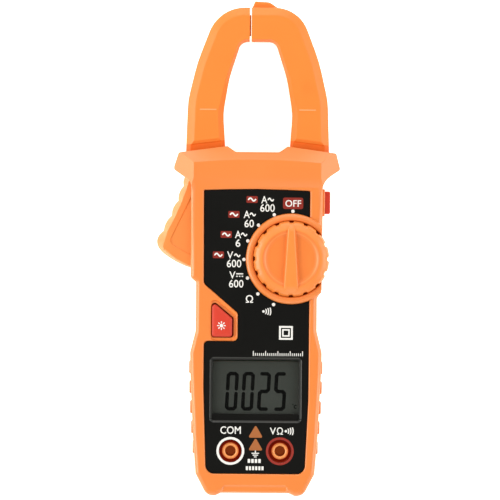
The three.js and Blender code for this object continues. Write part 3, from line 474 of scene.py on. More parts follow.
def front_cover():
    bezel = box(22, 26.1, HOLD["y0"] - 0.9, 51, HOLD["z0"] - 1.6, HOLD["z1"] + 1.6, 0.4, 0.5)
    cover = cut(join(housing_half(True), bezel), *cavity())
    seat = loft(PANEL, [(0.12, PANEL_FLOOR), (0.12, FRONT - 0.5), (0.2, FRONT - 0.25), (0.38, FRONT - 0.07),
                        (0.62, FRONT), (1.2, FRONT + 0.4)])
    dish = loft([(13.4, -68, 0), (12.3, -63.2, 1.2), (-12.3, -63.2, 1.2), (-13.4, -68, 0)],
                [(-0.9, FRONT - 0.4), (-0.4, FRONT - 0.3), (0, FRONT), (0.4, FRONT + 0.3)])
    cover = cut(cover, seat, dish)
    pocket_floor = post(KNOB, POCKET_RADIUS + 1.8, POCKET_FLOOR - 2, POCKET_FLOOR + 0.5)
    cover = join(cover, common(pocket_floor, box(-60, COLLAR_TRIM, -90, 90, 0, 60)))
    cover = cut(cover, post(KNOB, POCKET_RADIUS, POCKET_FLOOR, 60, 160), post(KNOB, 4.1, 20, 60))
    cover = join(cover, collar(POCKET_FLOOR))
    groove = loft(LIGHT_HOLE, [(0.2, FRONT - 0.6), (1.0, FRONT - 0.5), (1.2, FRONT - 0.3), (1.4, FRONT + 0.2)])
    groove = common(groove, box(-17.3, 0, -90, 90, 20, 40))
    button = loft(LIGHT_HOLE, [(0.2, 20), (0.2, FRONT - 0.4), (0.35, FRONT - 0.1), (0.5, FRONT + 0.2)])
    side_button = box(20, 40, HOLD["y0"] - 0.25, HOLD["y1"] + 0.25, HOLD["z0"] - 0.25, HOLD["z1"] + 0.25)
    cover = cut(cover, box(-17.5, 17.5, -39, -15, 20, 40), groove, button, side_button)
    tubes = [post(c, 5.6, 5, PANEL_FLOOR) for c in SOCKETS]
    bosses = [post(c, 2.8, PARTING + SEAM, CAVITY_TOP + 1, 32) for c in CASE_SCREWS]
    bosses.append(post(PIVOT, 4.4, LEVER_FRONT + 0.2, CAVITY_TOP + 1))
    cover = join(cover, *tubes, *bosses)
    wells = []
    for c in SOCKETS:
        mouth = [(0, 0), (0, 45), (4.8, 45), (4.8, PANEL_FLOOR + 0.2), (SOCKET_WELL, PANEL_FLOOR - 0.1)]
        stem = [(SOCKET_WELL, 7), (SOCKET_STEM, 7), (SOCKET_STEM, SOCKET_POST - 0.6), (3.12, SOCKET_POST - 0.3),
                (2.9, SOCKET_POST - 0.08)]
        lip = [(2.55, SOCKET_POST), (2.25, SOCKET_POST - 0.1), (2.08, SOCKET_POST - 0.3),
               (SOCKET_BORE, SOCKET_POST - 0.6)]
        bore = [(SOCKET_BORE, 24.1), (2.65, 24.1), (2.65, 0)]
        wells.append(turned(mouth + stem + lip + bore, c, 72))
    drill = [post(c, 1.15, 10, 22, 24) for c in CASE_SCREWS]
    drill.append(post(PIVOT, 2.02, 0, 25.6))
    return cut(cover, *wells, *drill)


def rear_cover():
    cover = cut(housing_half(False), *cavity())
    x, low, high, ceiling = 13, -41, 7.6, 13.4
    cover = join(cover, box(-x - 1.4, x + 1.4, low - 1.2, DOOR["high"] + 0.4, 1, ceiling + 1.4))
    door_way = loft(DOOR_OUTLINE, [(0.7, -0.4), (0.45, 0), (0.25, 0.15), (0.2, 0.35), (0.2, 1.7)])
    pockets = [box(s - 2.2, s + 2.2, DOOR["low"] - 1.8, low + 0.1, 1.6, 3.15) for s in (-8, 8)]
    thread = post((0, DOOR["screw"]), 1.1, 0, 12, 24)
    cover = cut(cover, box(-x, x, low, high, -1, ceiling), door_way, thread, *pockets)
    cover = join(cover, *[post(c, 2.8, 1, PARTING - SEAM, 32) for c in CASE_SCREWS],
                 post(PIVOT, 3.4, 1, LEVER_BACK - 0.2))
    sunk = [(0, -1), (3.6, -1), (2.9, 0), (2.68, 0.18), (2.6, 0.4), (2.6, 4.2), (1.4, 4.2), (1.4, 20), (0, 20)]
    recess = [turned(sunk, c, 48) for c in CASE_SCREWS]
    rooms = [post(c, 5.9, WALL, 20) for c in SOCKETS]
    return cut(cover, *recess, *rooms, post(PIVOT, 2.02, 2.6, 40))


def battery_door():
    door = plate(DOOR_OUTLINE, 0, 1.5, 0, 0.3, 3)
    hooks = []
    for s in (-8, 8):
        hooks.append(box(s - 2, s + 2, DOOR["low"] + 0.1, DOOR["low"] + 1.4, 1.2, 2.95))
        hooks.append(box(s - 2, s + 2, DOOR["low"] - 1.6, DOOR["low"] + 1, 1.75, 2.9))
    door = join(door, *hooks)
    grips = []
    for i in range(6):
        y = -27 - 1.9 * i
        bar = rectangle(-6.5, 6.5, y - 0.55, y + 0.55, 0.54)
        grips.append(loft(bar, [(0.3, -0.3), (0.0, 0.1), (-0.2, 0.45)], math.radians(20)))
    sunk = [(0, -1), (3.2, -1), (2.6, 0), (2.44, 0.12), (2.4, 0.3), (2.4, 0.8), (1.3, 0.8), (1.3, 4), (0, 4)]
    return cut(door, *grips, turned(sunk, (0, DOOR["screw"]), 48))


def screw(centre, z, head_radius, head_height, shank, length):
    """A cross-slotted screw standing on its head at height z."""
    x, y = centre
    profile = [(0, 0), (head_radius * 0.7, 0), (head_radius * 0.9, head_height * 0.12),
               (head_radius, head_height * 0.4), (head_radius, head_height), (shank, head_height),
               (shank, length - 1), (0, length)]
    body = moved(turned(profile, (0, 0), 40), Matrix.Translation((x, y, z)))
    arm, deep = head_radius * 0.6, z + head_height * 0.6
    slot = 0.28
    across = box(x - arm, x + arm, y - slot, y + slot, z - 1, deep)
    along = box(x - slot, x + slot, y - arm, y + arm, z - 1, deep)
    return cut(body, across, along)


housing_front = place("housing_front", front_cover(), ORANGE, replaces=["front_cover"])
# The socket well walls get painted shade, the socket post tops a glowing painted light, and the knob pocket's walls
# painted shade, picked by where the faces lie.
for extra in (SOCKET_SHADE, SOCKET_RIM_GLOW, POCKET_SHADE):
    housing_front.data.materials.append(extra)
for face in housing_front.data.polygons:
    x, y, z = face.center / MM
    reach = min(math.hypot(x - cx, y - cy) for cx, cy in SOCKETS)
    if SOCKET_POST - 0.7 < z < SOCKET_POST + 0.05 and reach < 3.25:
        face.material_index = 2
    elif z < SOCKET_POST + 0.2 and reach < 4.5:
        face.material_index = 1
    elif POCKET_FLOOR - 0.1 < z < 30.6 and math.hypot(x - KNOB[0], y - KNOB[1]) < POCKET_RADIUS + 0.1:
        face.material_index = 3
place("housing_rear", rear_cover(), ORANGE, replaces=["rear_cover"])
place("cell_door", battery_door(), ORANGE, replaces=["battery_door"])
place("cell_door_screw", screw((0, DOOR["screw"]), 0.1, 2.2, 0.7, 1, 6), STEEL,
      replaces=["battery_door_screw"])
for i, centre in enumerate(CASE_SCREWS):
    place(f"housing_screw_{i + 1}", screw(centre, 2.4, 2.4, 1.6, 1.1, 16.5), STEEL,
          replaces=[f"case_screw_{i + 1}"])
# Each stop glows as painted light, deep in its socket.
for i, centre in enumerate(SOCKETS):
    place(f"socket_stop_glow_{i + 1}", post(centre, 1.9, 4.3, 5.2, 40, 0.3), SOCKET_STOP_GLOW)


# ------------------------------------------------------------------ panel, window and display
def face_panel():
    edge = [(0, PANEL_FLOOR + 0.02), (0, PANEL_TOP - 0.25), (-0.12, PANEL_TOP - 0.06), (-0.45, PANEL_TOP)]
    surround = [(0, PANEL_FLOOR - 0.5), (0, PANEL_FLOOR + 0.1), (0.15, PANEL_FLOOR + 0.35), (0.75, PANEL_TOP - 0.2),
                (1.1, PANEL_TOP), (1.5, PANEL_TOP + 1)]
    well = [(0, 20), (SOCKET_WELL, 20), (SOCKET_WELL, PANEL_TOP - 0.15), (4.45, PANEL_TOP), (4.8, 40), (0, 40)]
    wells = [turned(well, centre, 72) for centre in SOCKETS]
    panel = cut(loft(PANEL, edge), loft(DISPLAY, surround), post(KNOB, COLLAR_RADIUS + 0.12, 20, 40, 160), *wells)
    rise = [(0.1, 0.02), (0, 0.1), (-0.2, 0.4), (-0.35, 0.45)]
    ledge = rectangle(-17.2, 17.2, -38.8, -35.9)
    return join(panel, loft(ledge, [(grow, PANEL_FLOOR + z) for grow, z in rise]))


panel = place("panel", face_panel(), BLACK, replaces=["face_panel"], sharp=22)
# The sloped faces round the display window, all but the ledge strip, take the paler black as a painted highlight.
panel.data.materials.append(FRAME_HIGHLIGHT)
for face in panel.data.polygons:
    x, y, z = face.center / MM
    inside = abs(x) < 17.9 and -39.5 < y < -13.5
    if inside and 0.1 < face.normal.z < 0.95 and not -38 < y < -35.5:
        face.material_index = 1
place("window", box(-17.3, 17.3, -38.8, -15.2, 27.25, 28.2, 0.1, 0.3), WINDOW,
      replaces=["display_lens"])
place("lcd", box(-17.1, 17.1, -38.6, -15.4, 25, 27, 0.1, 0.3), LCD, replaces=["lcd_glass"])


def ribbon(points, width, caps=6):
    """The outline of a stroke of one width along a polyline, with round ends and mitred bends."""
    pts = [Vector(p) for p in points]
    left, right = [], []
    for i, p in enumerate(pts):
        before = (p - pts[i - 1]).normalized() if i else None
        after = (pts[i + 1] - p).normalized() if i < len(pts) - 1 else None
        along = ((before or after) + (after or before)).normalized()
        side = Vector((-along.y, along.x))
        leg = before or after
        reach = width / 2 / max(0.5, side.dot(Vector((-leg.y, leg.x))))
        left.append(p + side * reach)
        right.append(p - side * reach)
    out = []
    for tip, toward, edge in ((pts[-1], pts[-1] - pts[-2], right), (pts[0], pts[0] - pts[1], left[::-1])):
        out += edge
        first = math.atan2(toward.y, toward.x) - math.pi / 2
        turns = [first + math.pi * k / caps for k in range(1, caps)]
        out += [tip + Vector((math.cos(a), math.sin(a))) * (width / 2) for a in turns]
    return [(v.x, v.y) for v in out]


def prism(points, z0, z1):
    return stack([(points, z0), (points, z1)])


def merged(shapes):
    """Several separate bodies in one mesh."""
    bm = bmesh.new()
    for shape in shapes:
        bm.from_mesh(shape.data)
    mesh = bpy.data.meshes.new("solid")
    bm.to_mesh(mesh)
    bm.free()
    for shape in shapes:
        bpy.data.objects.remove(shape)
    obj = bpy.data.objects.new("solid", mesh)
    bpy.context.scene.collection.objects.link(obj)
    return obj


DIGIT = {"width": 3.35, "height": 13.6, "stroke": 1.35, "gap": 0.42, "slant": 0.049}


def digit_strokes(character):
    """The strokes of one digit: a 0 in two halves, a 2 in one, and a 5 as a turned 2."""
    w, h = DIGIT["width"], DIGIT["height"]
    m, g, c = h / 2, DIGIT["gap"], 0.75
    upper = [(0, m + g + 0.5), (0, h - c), (c, h), (w - c, h), (w, h - c), (w, m + g + 0.5)]
    lower = [(x, h - y) for x, y in upper]
    if character == "0":
        return [upper, lower]
    two = [(0.5, h), (w - c, h), (w, h - c), (w, m + c), (w - c, m), (c, m), (0, m - c), (0, c), (c, 0),
           (w - 0.5, 0)]
    return [two] if character == "2" else [[(w - x, y) for x, y in two]]


SMALL_MARK = [
    ([(14.35, -32.1), (14.5, -32.2)], 0.35),
    ([(15.75, -32.5), (15.3, -32.35), (14.95, -32.7), (14.95, -33.3), (15.3, -33.6), (15.75, -33.45)], 0.32),
]


def lcd_reading(digits, x0, y0, pitch, z):
    shapes = []
    for i, character in enumerate(digits):
        for stroke in digit_strokes(character):
            path = [(x0 + i * pitch + x + DIGIT["slant"] * y, y0 + y) for x, y in stroke]
            shapes.append(prism(ribbon(path, DIGIT["stroke"]), z, z + 0.03))
    shapes += [prism(ribbon(path, stroke), z, z + 0.03) for path, stroke in SMALL_MARK]
    return merged(shapes)


place("lcd_digits", lcd_reading("0025", -11.15, -33.95, 6.2, 27.01), LCD_INK)


# ------------------------------------------------------------------ printing on the panel
INK = (PANEL_TOP + 0.005, PANEL_TOP + 0.035)


def text(body, centre, cap_height, width, bold=0.008, ink=INK):
    """Lettering as a thin raised print, its capitals of one height and its line of one width."""
    curve = bpy.data.curves.new("text", "FONT")
    curve.body = body
    curve.size = cap_height / 0.686
    curve.offset = bold * curve.size
    curve.extrude = (ink[1] - ink[0]) / 2
    curve.resolution_u = 3
    obj = bpy.data.objects.new("text", curve)
    bpy.context.scene.collection.objects.link(obj)
    mesh = bpy.data.meshes.new_from_object(obj.evaluated_get(bpy.context.evaluated_depsgraph_get()))
    bpy.data.objects.remove(obj)
    xs = [v.co.x for v in mesh.vertices]
    ys = [v.co.y for v in mesh.vertices]
    zs = [v.co.z for v in mesh.vertices]
    scale = width / (max(xs) - min(xs))
    mesh.transform(Matrix.Translation((centre[0], centre[1], ink[0] - min(zs)))
                   @ Matrix.Diagonal((scale, 1, 1, 1))
                   @ Matrix.Translation((-(min(xs) + max(xs)) / 2, -(min(ys) + max(ys)) / 2, 0)))
    out = bpy.data.objects.new("solid", mesh)
    bpy.context.scene.collection.objects.link(out)
    return out


def wave(centre, width=2.35, height=0.5, stroke=0.5, ink=INK):
    steps = 16
    path = [(centre[0] + width * (k / steps - 0.5), centre[1] + height * math.sin(2 * math.pi * k / steps))
            for k in range(steps + 1)]
    return prism(ribbon(path, stroke), *ink)


def disc(centre, radius, ink=INK):
    return prism(circle(centre, radius, 32), *ink)


def ring(centre, outer, inner):
    z0, z1 = INK
    return turned([(inner, z0), (outer, z0), (outer, z1), (inner, z1)], centre, 96)


def arc_stroke(centre, radius, spread, stroke):
    """A stroke along an arc, spread degrees to each side of the right."""
    steps = 10
    turns = [math.radians(-spread + 2 * spread * k / steps) for k in range(steps + 1)]
    path = [(centre[0] + radius * math.cos(a), centre[1] + radius * math.sin(a)) for a in turns]
    return prism(ribbon(path, stroke), *INK)


def sound_sign(centre):
    """A dot with three sound waves."""
    x, y = centre
    arcs = [arc_stroke((x - 1.9, y), r, spread, 0.42) for r, spread in ((1.65, 30), (2.5, 27), (3.35, 23))]
    return [disc((x - 1.35, y), 0.48)] + arcs


def badge(centre, width, height, corner):
    x, y, a, b = *centre, width / 2, height / 2
    return plate(rectangle(x - a, x + a, y - b, y + b, corner), *INK)


ON_BADGE = (INK[1] - 0.005, INK[1] + 0.02)
BADGES = [(-1.95, 46.75), (-8.9, 40.95), (-11.8, 33.2), (-14.75, 25.35)]
# letter, its place, the wave's place, number, its place and width
RANGES = [
    ("A", (2.75, 46.7), (5.25, 46.75), "600", (4.0, 43.55), 5.6),
    ("A", (-3.95, 41.0), (-1.65, 41.0), "60", (-3.0, 37.5), 3.65),
    ("A", (-7.25, 33.25), (-4.95, 33.25), "6", (-7.25, 29.95), 1.85),
    ("V", (-10.25, 25.3), (-7.5, 25.2), "600", (-8.7, 22.05), 5.6),
]
DOT_X, DOT_Y, DOT_REACH, DOT_STEP = KNOB[0] + 0.5, KNOB[1] - 0.35, 18.7, 22.5
EARTH = [(-50.35, 0.4, 0.9), (-50.95, 2.9, 0.38), (-51.65, 2.0, 0.38), (-52.35, 1.0, 0.38)]


def range_print():
    """The ranges round the dial, the two signs after them and the dots that the knob points at."""
    shapes = []
    for letter, letter_at, wave_at, number, number_at, width in RANGES:
        shapes += [text(letter, letter_at, 2.75, 2.35), wave(wave_at, 2.0), text(number, number_at, 2.85, width)]
    shapes += [text("V", (-9.3, 17.6), 2.75, 2.35), badge((-6.5, 18.1), 2.7, 0.45, 0.1)]
    shapes.append(text("600", (-7.8, 14.3), 2.85, 5.6))
    shapes += [badge((-6.5 + d, 17.15), 0.6, 0.42, 0.1) for d in (-1.05, 0, 1.05)]
    shapes.append(text("Ω", (-2.65, 8.45), 2.65, 2.8, 0.012))
    shapes += sound_sign((4.15, 3.7))
    for k in range(8):
        a = math.radians(90 + DOT_STEP * k)
        shapes.append(disc((DOT_X + DOT_REACH * math.cos(a), DOT_Y + DOT_REACH * math.sin(a)), 0.66))
    return shapes


def double_square(centre):
    x, y = centre
    shapes = []
    for half, stroke in ((2.65, 0.7), (1.45, 0.55)):
        h = half - stroke
        outer = plate(rectangle(x - half, x + half, y - half, y + half), *INK)
        hole = plate(rectangle(x - h, x + h, y - h, y + h), PANEL_TOP - 0.5, PANEL_TOP + 0.5)
        shapes.append(cut(outer, hole))
    return shapes


def scale_print():
    """A plain row of ticks, every sixth one tall."""
    heights = [1.9 if k % 6 == 0 else 1.1 for k in range(25)]
    return [badge((-1.0 + 0.79 * k, -13.45 + tall / 2), 0.3, tall, 0.05) for k, tall in enumerate(heights)]


def socket_print():
    """The names of the sockets, the white ring, the earth sign and two plain rows of bars."""
    shapes = [text("COM", (-9.5, -42.1), 2.8, 7.9, 0.01), text("V", (6.8, -42.35), 2.65, 2.35)]
    shapes.append(text("Ω", (9.5, -42.3), 2.55, 2.35))
    shapes += sound_sign((13.15, -42.35))
    shapes.append(ring(SOCKETS[0], *SOCKET_RING))
    shapes += [badge((0.1, y), w, h, 0.05) for y, w, h in EARTH]
    shapes += [badge((-0.3 + 1.35 * (k - 1.5), -53.9), 0.95, 1.5, 0.1) for k in range(4)]
    shapes += [badge((-0.1 + 1.2 * (k - 2.5), -56.7), 0.8, 1.5, 0.1) for k in range(6)]
    return shapes


def badge_print():
    """The word and the waves that stand on the red badges."""
    return [text("OFF", (13.9, 45.35), 2.5, 6.1, 0.01, ON_BADGE)] + [wave(c, 2.7, 0.55, 0.55, ON_BADGE) for c in BADGES]


white = range_print() + double_square((11.5, -4.5)) + scale_print() + socket_print() + badge_print()
place("white_print", merged(white), WHITE_INK)
reds = [badge((13.85, 45.4), 7.8, 4.4, 0.8)] + [badge(c, 4.3, 2.6, 0.4) for c in BADGES]
place("red_print", merged(reds), RED_INK)
place("red_ring_print", ring(SOCKETS[1], *SOCKET_RING), RING_INK)


def triangle(x, y, width, height):
    corners = [(x + width / 2, y - height / 2, 0.45), (x, y + height / 2, 0.45), (x - width / 2, y - height / 2, 0.45)]
    return plate(corners, *INK)


place("amber_print", merged([triangle(0.15, -42.5, 5.7, 4.9), triangle(0.15, -47.4, 5.7, 4.9)]), AMBER_INK)


# ------------------------------------------------------------------ jaws
def hole_mouth():
    """The opening's edge on the face of the jaws: its chamfer widens towards the body."""
    points = []
    for x, y in outline(HOLE, 0.95):
        wider = 1.2 * min(1, max(0, (98 - y) / 18))
        points.append((x + math.copysign(wider, x), y))
    return points


def jaw_ring(front):
    """Both jaws as one closed ring, one shell deep, with chamfered edges."""
    c, deep = JAW_CHAMFER, JAW_CHAMFER_DEPTH
    if front:
        z0, z1, s = PARTING + SEAM, JAW_FRONT, 1
    else:
        z0, z1, s = PARTING - SEAM, JAW_BACK, -1
    outer = [(-0.25, z0), (0, z0 + 0.25 * s), (0, z1 - (deep + 0.25) * s), (-0.14, z1 - (deep - 0.12) * s),
             (-c + 0.3, z1 - 0.12 * s), (-c - 0.3, z1)]
    narrow, wide = outline(HOLE), hole_mouth()
    levels = [(narrow, z0 - s), (narrow, z1 - 2.2 * s), (outline(HOLE, 0.12), z1 - 1.9 * s), (wide, z1),
              (wide, z1 + s)]
    if not front:
        outer, levels = outer[::-1], levels[::-1]
    return cut(loft(JAW, outer), stack(levels))


def neck_cut():
    """What is taken off the jaws' faces beside the hood, front and back."""
    depth = 0.9
    corners = mirrored([(30, 57, 0), (30, 67.1, 0), (11, 69.5, 0)])
    up = loft(corners, [(0, JAW_FRONT - depth), (1.6, JAW_FRONT + 0.1)])
    down = loft(corners, [(1.6, JAW_BACK - 0.1), (0, JAW_BACK + depth)])
    return [up, down]


def shade_neck(jaw, side):
    """Gives the band of a jaw beside the hood a deeper colour as painted shade, up to a slanting line."""
    up = Vector((0.125 * side, 1, 0))
    foot = Vector((27 * side, 67.9, 0)) * MM
    bm = bmesh.new()
    bm.from_mesh(jaw.data)
    bmesh.ops.bisect_plane(bm, geom=bm.verts[:] + bm.edges[:] + bm.faces[:], plane_co=foot, plane_no=up,
                           dist=1e-6)
    bm.to_mesh(jaw.data)
    bm.free()
    jaw.data.materials.append(NECK_SHADE)
    for face in jaw.data.polygons:
        if (face.center - foot).dot(up) < 0 and face.center.y > 0.0625:
            face.material_index = len(jaw.data.materials) - 1


def core_room():
    """The room in the jaws for the steel cores, with a little air round them."""
    fit = 0.2
    outer = common(plate(JAW, 10.5 - fit, 19.5 + fit, grow=fit - 3), box(-60, 60, 61.6, 200, 0, 40))
    base = box(-22.4 - fit, 22.4 + fit, 54.6 - fit, 61.7, 10.5 - fit, 19.5 + fit)
    window = common(plate(HOLE, 0, 40, grow=2.6 - fit), box(-60, 60, 61.6 + fit, 200, 0, 40))
    return cut(join(outer, base), window)


def tick(side, front):
    """The raised centre mark of one jaw."""
    z0, z1 = (JAW_FRONT - 0.3, JAW_FRONT + 0.2) if front else (JAW_BACK - 0.2, JAW_BACK + 0.3)
    x0, x1 = sorted((16.0 * side, 22.4 * side))
    return box(x0, x1, 81.23, 81.67, z0, z1, 0.1)


def fixed_jaw(front):
    jaw = common(jaw_ring(front), join(box(FIXED_END, 60, 80, 200, 0, 40), box(0, 60, 40, 80.1, 0, 40)))
    half = (PARTING + SEAM, 40) if front else (0, PARTING - SEAM)
    extras = [common(plate(FIN, 12, 18, 0.5, 0.5, 3), box(FIXED_END, 60, 80, 200, *half))]
    if front:
        outside = [(21.3, 88.4, 0.3), (19.1, 92.4, 0.3), (16.9, 88.4, 0.3)]
        inside = [(20.3, 88.95, 0.2), (19.1, 91.2, 0.2), (17.9, 88.95, 0.2)]
        triangle_mark = plate(outside, JAW_FRONT - 0.3, JAW_FRONT + 0.12)
        extras.append(cut(triangle_mark, plate(inside, JAW_FRONT - 1, JAW_FRONT + 1)))
    return cut(join(jaw, *extras), *neck_cut(), core_room())


def bezier(a, c, b, steps):
    """Points of a curve from a to b pulled towards c, without its last one."""
    a, c, b = Vector(a), Vector(c), Vector(b)
    shares = [k / steps for k in range(steps)]
    return [(1 - t) ** 2 * a + 2 * t * (1 - t) * c + t ** 2 * b for t in shares]


def trigger_edges():
    """The finger edge of the trigger: a scalloped outer line and the plain edge of its faces, point for point."""
    out = Vector((-0.915, 0.403))
    notches = [Vector(n) for n in TRIGGER_NOTCHES]
    steps = 10
    scallops = bezier((-28, 55.4), (-28.9, 53.5), notches[0], 5)
    straight = [Vector((-27.2, 55.2)).lerp(notches[0] - out * 0.2, k / 5) for k in range(5)]
    for a, b in zip(notches, notches[1:]):
        bulge = Vector((b.y - a.y, a.x - b.x)).normalized() * TRIGGER_SCALLOP
        scallops += bezier(a, (a + b) / 2 + bulge, b, steps)
        straight += [a.lerp(b, k / steps) - out * 0.2 for k in range(steps)]
    notch = notches[-1]
    scallops += bezier(notch, (-38.55, 32.6), (-38.55, 30.3), steps)
    scallops += bezier((-38.55, 30.3), (-38.55, 28.1), (-36.36, 26.18), steps)
    straight += bezier(notch - out * 0.2, (-36.5, 31), (-37.1, 30), steps)
    straight += bezier((-37.1, 30), (-36.9, 28.3), (-35.6, 26.9), steps)
    plain = [p - out * 1.2 for p in straight[:-steps]]
    plain += [p.lerp(p - out * 1.2, 1 - k / steps) for k, p in enumerate(straight[-steps:])]
    return scallops, plain


def lever_ring(inset, share):
    """The lever's outline drawn in by inset, its grip between scalloped (share 0) and plain (share 1)."""
    px, py = PIVOT
    scallops, straight = trigger_edges()
    points = [(-12.6, 63), (-28 + inset, 63)]
    points += [tuple(s.lerp(f, share)) for s, f in zip(scallops, straight)]
    first, last, steps = math.radians(230.2), math.radians(266), 36
    for k in range(steps + 1):
        a = first + (last - first) * k / steps
        reach = TRIGGER_REACH - inset - share * 0.95 * max(0, 1 - k / steps * 1.6)
        points.append((px + reach * math.cos(a), py + reach * math.sin(a)))
    return points + [(-11.6, 44.5), (-11.6, 54.2), (-12.6, 56)]


def lever(front):
    """One shell of the trigger, from the pivot to its finger edge."""
    s = 1 if front else -1
    z0, z1 = PARTING + SEAM * s, LEVER_FRONT if front else LEVER_BACK
    steps = [(0.2, 0, z0), (0, 0, z0 + 0.2 * s), (0, 0, z1 - 3.4 * s), (0.05, 0.12, z1 - 2.9 * s),
             (0.2, 0.8, z1 - 0.9 * s), (0.35, 1, z1 - 0.35 * s), (0.75, 1, z1)]
    levels = [(lever_ring(inset, share), z) for inset, share, z in steps]
    shape = stack(levels if front else levels[::-1])
    panel = [(-34.1, 29.9, 2.4), (-25.1, 24.9, 4), (-19, 24, 0), (-19, 60, 0), (-19.6, 60, 0)]
    if front:
        shape = cut(shape, loft(panel, [(-0.45, z1 - 0.3), (-0.2, z1 - 0.22), (0.2, z1 + 0.1)]))
    return shape


def moving_jaw(front):
    arm = common(jaw_ring(front), join(box(-60, MOVING_END, 80, 200, 0, 40), box(-60, -11, 40, 80.1, 0, 40)))
    half = (PARTING + SEAM, JAW_FRONT - 1.6) if front else (JAW_BACK + 1.6, PARTING - SEAM)
    tongue = box(MOVING_END - 1, TONGUE_END, 110.1, 118, *half)
    shape = join(arm, tongue, lever(front))
    bore = post(PIVOT, 2.05, 0, 40)
    hollow = plate([(-34, 31.5, 1), (-21.5, 22.5, 1), (-17.5, 43, 1), (-28.5, 46, 1)], 10.2, 19.8)
    return cut(shape, *neck_cut(), core_room(), bore, hollow)


for side, front in (("front", True), ("rear", False)):
    fixed = place(f"fixed_jaw_{side}", fixed_jaw(front), JAW_ORANGE,
                  replaces=[f"fixed_jaw_{side}_shell"])
    moving = place(f"moving_jaw_{side}", moving_jaw(front), JAW_ORANGE, "moving_jaw",
                   replaces=[f"moving_jaw_{side}_shell"])
    shade_neck(fixed, 1)
    shade_neck(moving, -1)
    # The trigger's faces take the paler glowing orange, painted light against the shade of the body's wall.
    moving.data.materials.append(TRIGGER_GLOW)
    for face in moving.data.polygons:
        if face.center.x < -0.0185 and face.center.y < 0.0563:
            face.material_index = 2
    # The ticks take the paler orange as a painted highlight.
    place(f"fixed_jaw_mark_{side}", tick(1, front), TICK_HIGHLIGHT)
    place(f"moving_jaw_mark_{side}", tick(-1, front), TICK_HIGHLIGHT, "moving_jaw")


# ------------------------------------------------------------------ range knob
NOTCHES = 16


def knob_disc():
    """The round body of the knob, notched round its skirt."""
    spacing = 2 * math.pi / NOTCHES
    half_notch, slope, rows = math.radians(3.2), math.radians(1.4), NOTCHES * 20
    turns = []
    for i in range(rows):
        a = 2 * math.pi * i / rows
        away = abs((a + spacing / 2) % spacing - spacing / 2)
        turns.append((a, max(0, min(1, (half_notch + slope / 2 - away) / slope))))
    skirt = [(0.1, 0.65, POCKET_FLOOR + 0.3), (0.4, 0.65, POCKET_FLOOR + 0.6), (0.4, 0.65, 30.8), (0.35, 0.6, 31.1),
             (0.15, 0.45, 31.4)]
    crown_edge = [(0.05, 0.4, 32.1), (-0.1, 0.35, 32.5), (-0.45, 0.25, 32.9), (-1.0, 0.1, 33.25), (-1.7, 0, 33.6),
                  (-2.4, 0, 33.85), (-3.1, 0, 33.95)]
    levels = []
    for grow, dip, z in skirt + crown_edge:
        reach = [(a, KNOB_RADIUS + grow - dip * notch) for a, notch in turns]
        levels.append(([(r * math.cos(a), r * math.sin(a)) for a, r in reach], z))
    return stack(levels)


def knob():
    dish = [(0, 33.1), (8.6, 33.1), (9.2, 33.18), (9.8, 33.4), (10.3, 33.65), (10.8, 33.87), (11.4, 34.05), (12, 40),
            (0, 40)]
    shape = cut(knob_disc(), turned(dish, (0, 0), 128))
    grip = mirrored([(2.75, -12.3, 1.2), (1.3, 12.5, 1.0)])
    levels = [(0.3, 1, 27), (0.3, 1, 32.8), (0.2, 1, 33.7), (0.05, 0.97, KNOB_TOP - 0.5), (-0.1, 0.93, KNOB_TOP - 0.2),
              (-0.35, 0.89, KNOB_TOP - 0.05), (-0.7, 0.86, KNOB_TOP)]
    ridge = stack([([(x, y * squeeze) for x, y in outline(grip, grow)], z) for grow, squeeze, z in levels])
    shape = join(shape, ridge, post((0, 0), 4, 23.8, 28), post((0, 0), 2.2, 22, 25, 6))
    return moved(shape, Matrix.Translation((*KNOB, 0)))


knob_cap = place("range_knob_cap", knob(), KNOB_ORANGE, "range_knob", replaces=["knob"])
# The flat floor of the knob's dish takes the darker orange as painted shade.
knob_cap.data.materials.append(KNOB_DISH_SHADE)
for face in knob_cap.data.polygons:
    x, y, z = face.center / MM
    if math.hypot(x - KNOB[0], y - KNOB[1]) < 11.2 and 33 < z < 34 and face.normal.z > 0.9:
        face.material_index = 1


# ------------------------------------------------------------------ push buttons
def light_button():
    crown = [(0, CAVITY_TOP - 0.7), (0, 30.3), (-0.1, 30.5), (-0.35, 30.68), (-0.9, 30.82), (-1.6, 30.9), (-2.3, 30.93)]
    flange = plate(LIGHT, CAVITY_TOP - 0.75, CAVITY_TOP - 0.05, grow=0.9)
    return join(loft(LIGHT, crown), flange)


def sun():
    x, y = -13.35, -1.9
    ink = (30.9, 30.97)
    rays = []
    for k in range(8):
        a = math.radians(45 * k)
        d = Vector((math.cos(a), math.sin(a)))
        path = [(x + d.x * r, y + d.y * r) for r in (1.1, 1.5)]
        rays.append(prism(ribbon(path, 0.42), *ink))
    return merged([disc((x, y), 0.68, ink), *rays])


def hold_button():
    y0, y1, z0, z1, out = HOLD["y0"], HOLD["y1"], HOLD["z0"], HOLD["z1"], HOLD["out"]
    cap = [(out, y0, 0.7), (out, y1, 0.7), (21.4, y1, 0), (21.4, y0, 0)]
    return join(plate(cap, z0, z1, 0.5, 0.5, 4), box(21.4, 22.4, y0 - 0.8, y1 + 0.8, z0 - 0.6, z1 + 0.6))


place("light_button_cap", light_button(), RED, "light_push", replaces=["light_button"])
place("light_button_print", sun(), WHITE_INK, "light_push")
place("hold_button_cap", hold_button(), RED, "hold_push", replaces=["hold_button"])

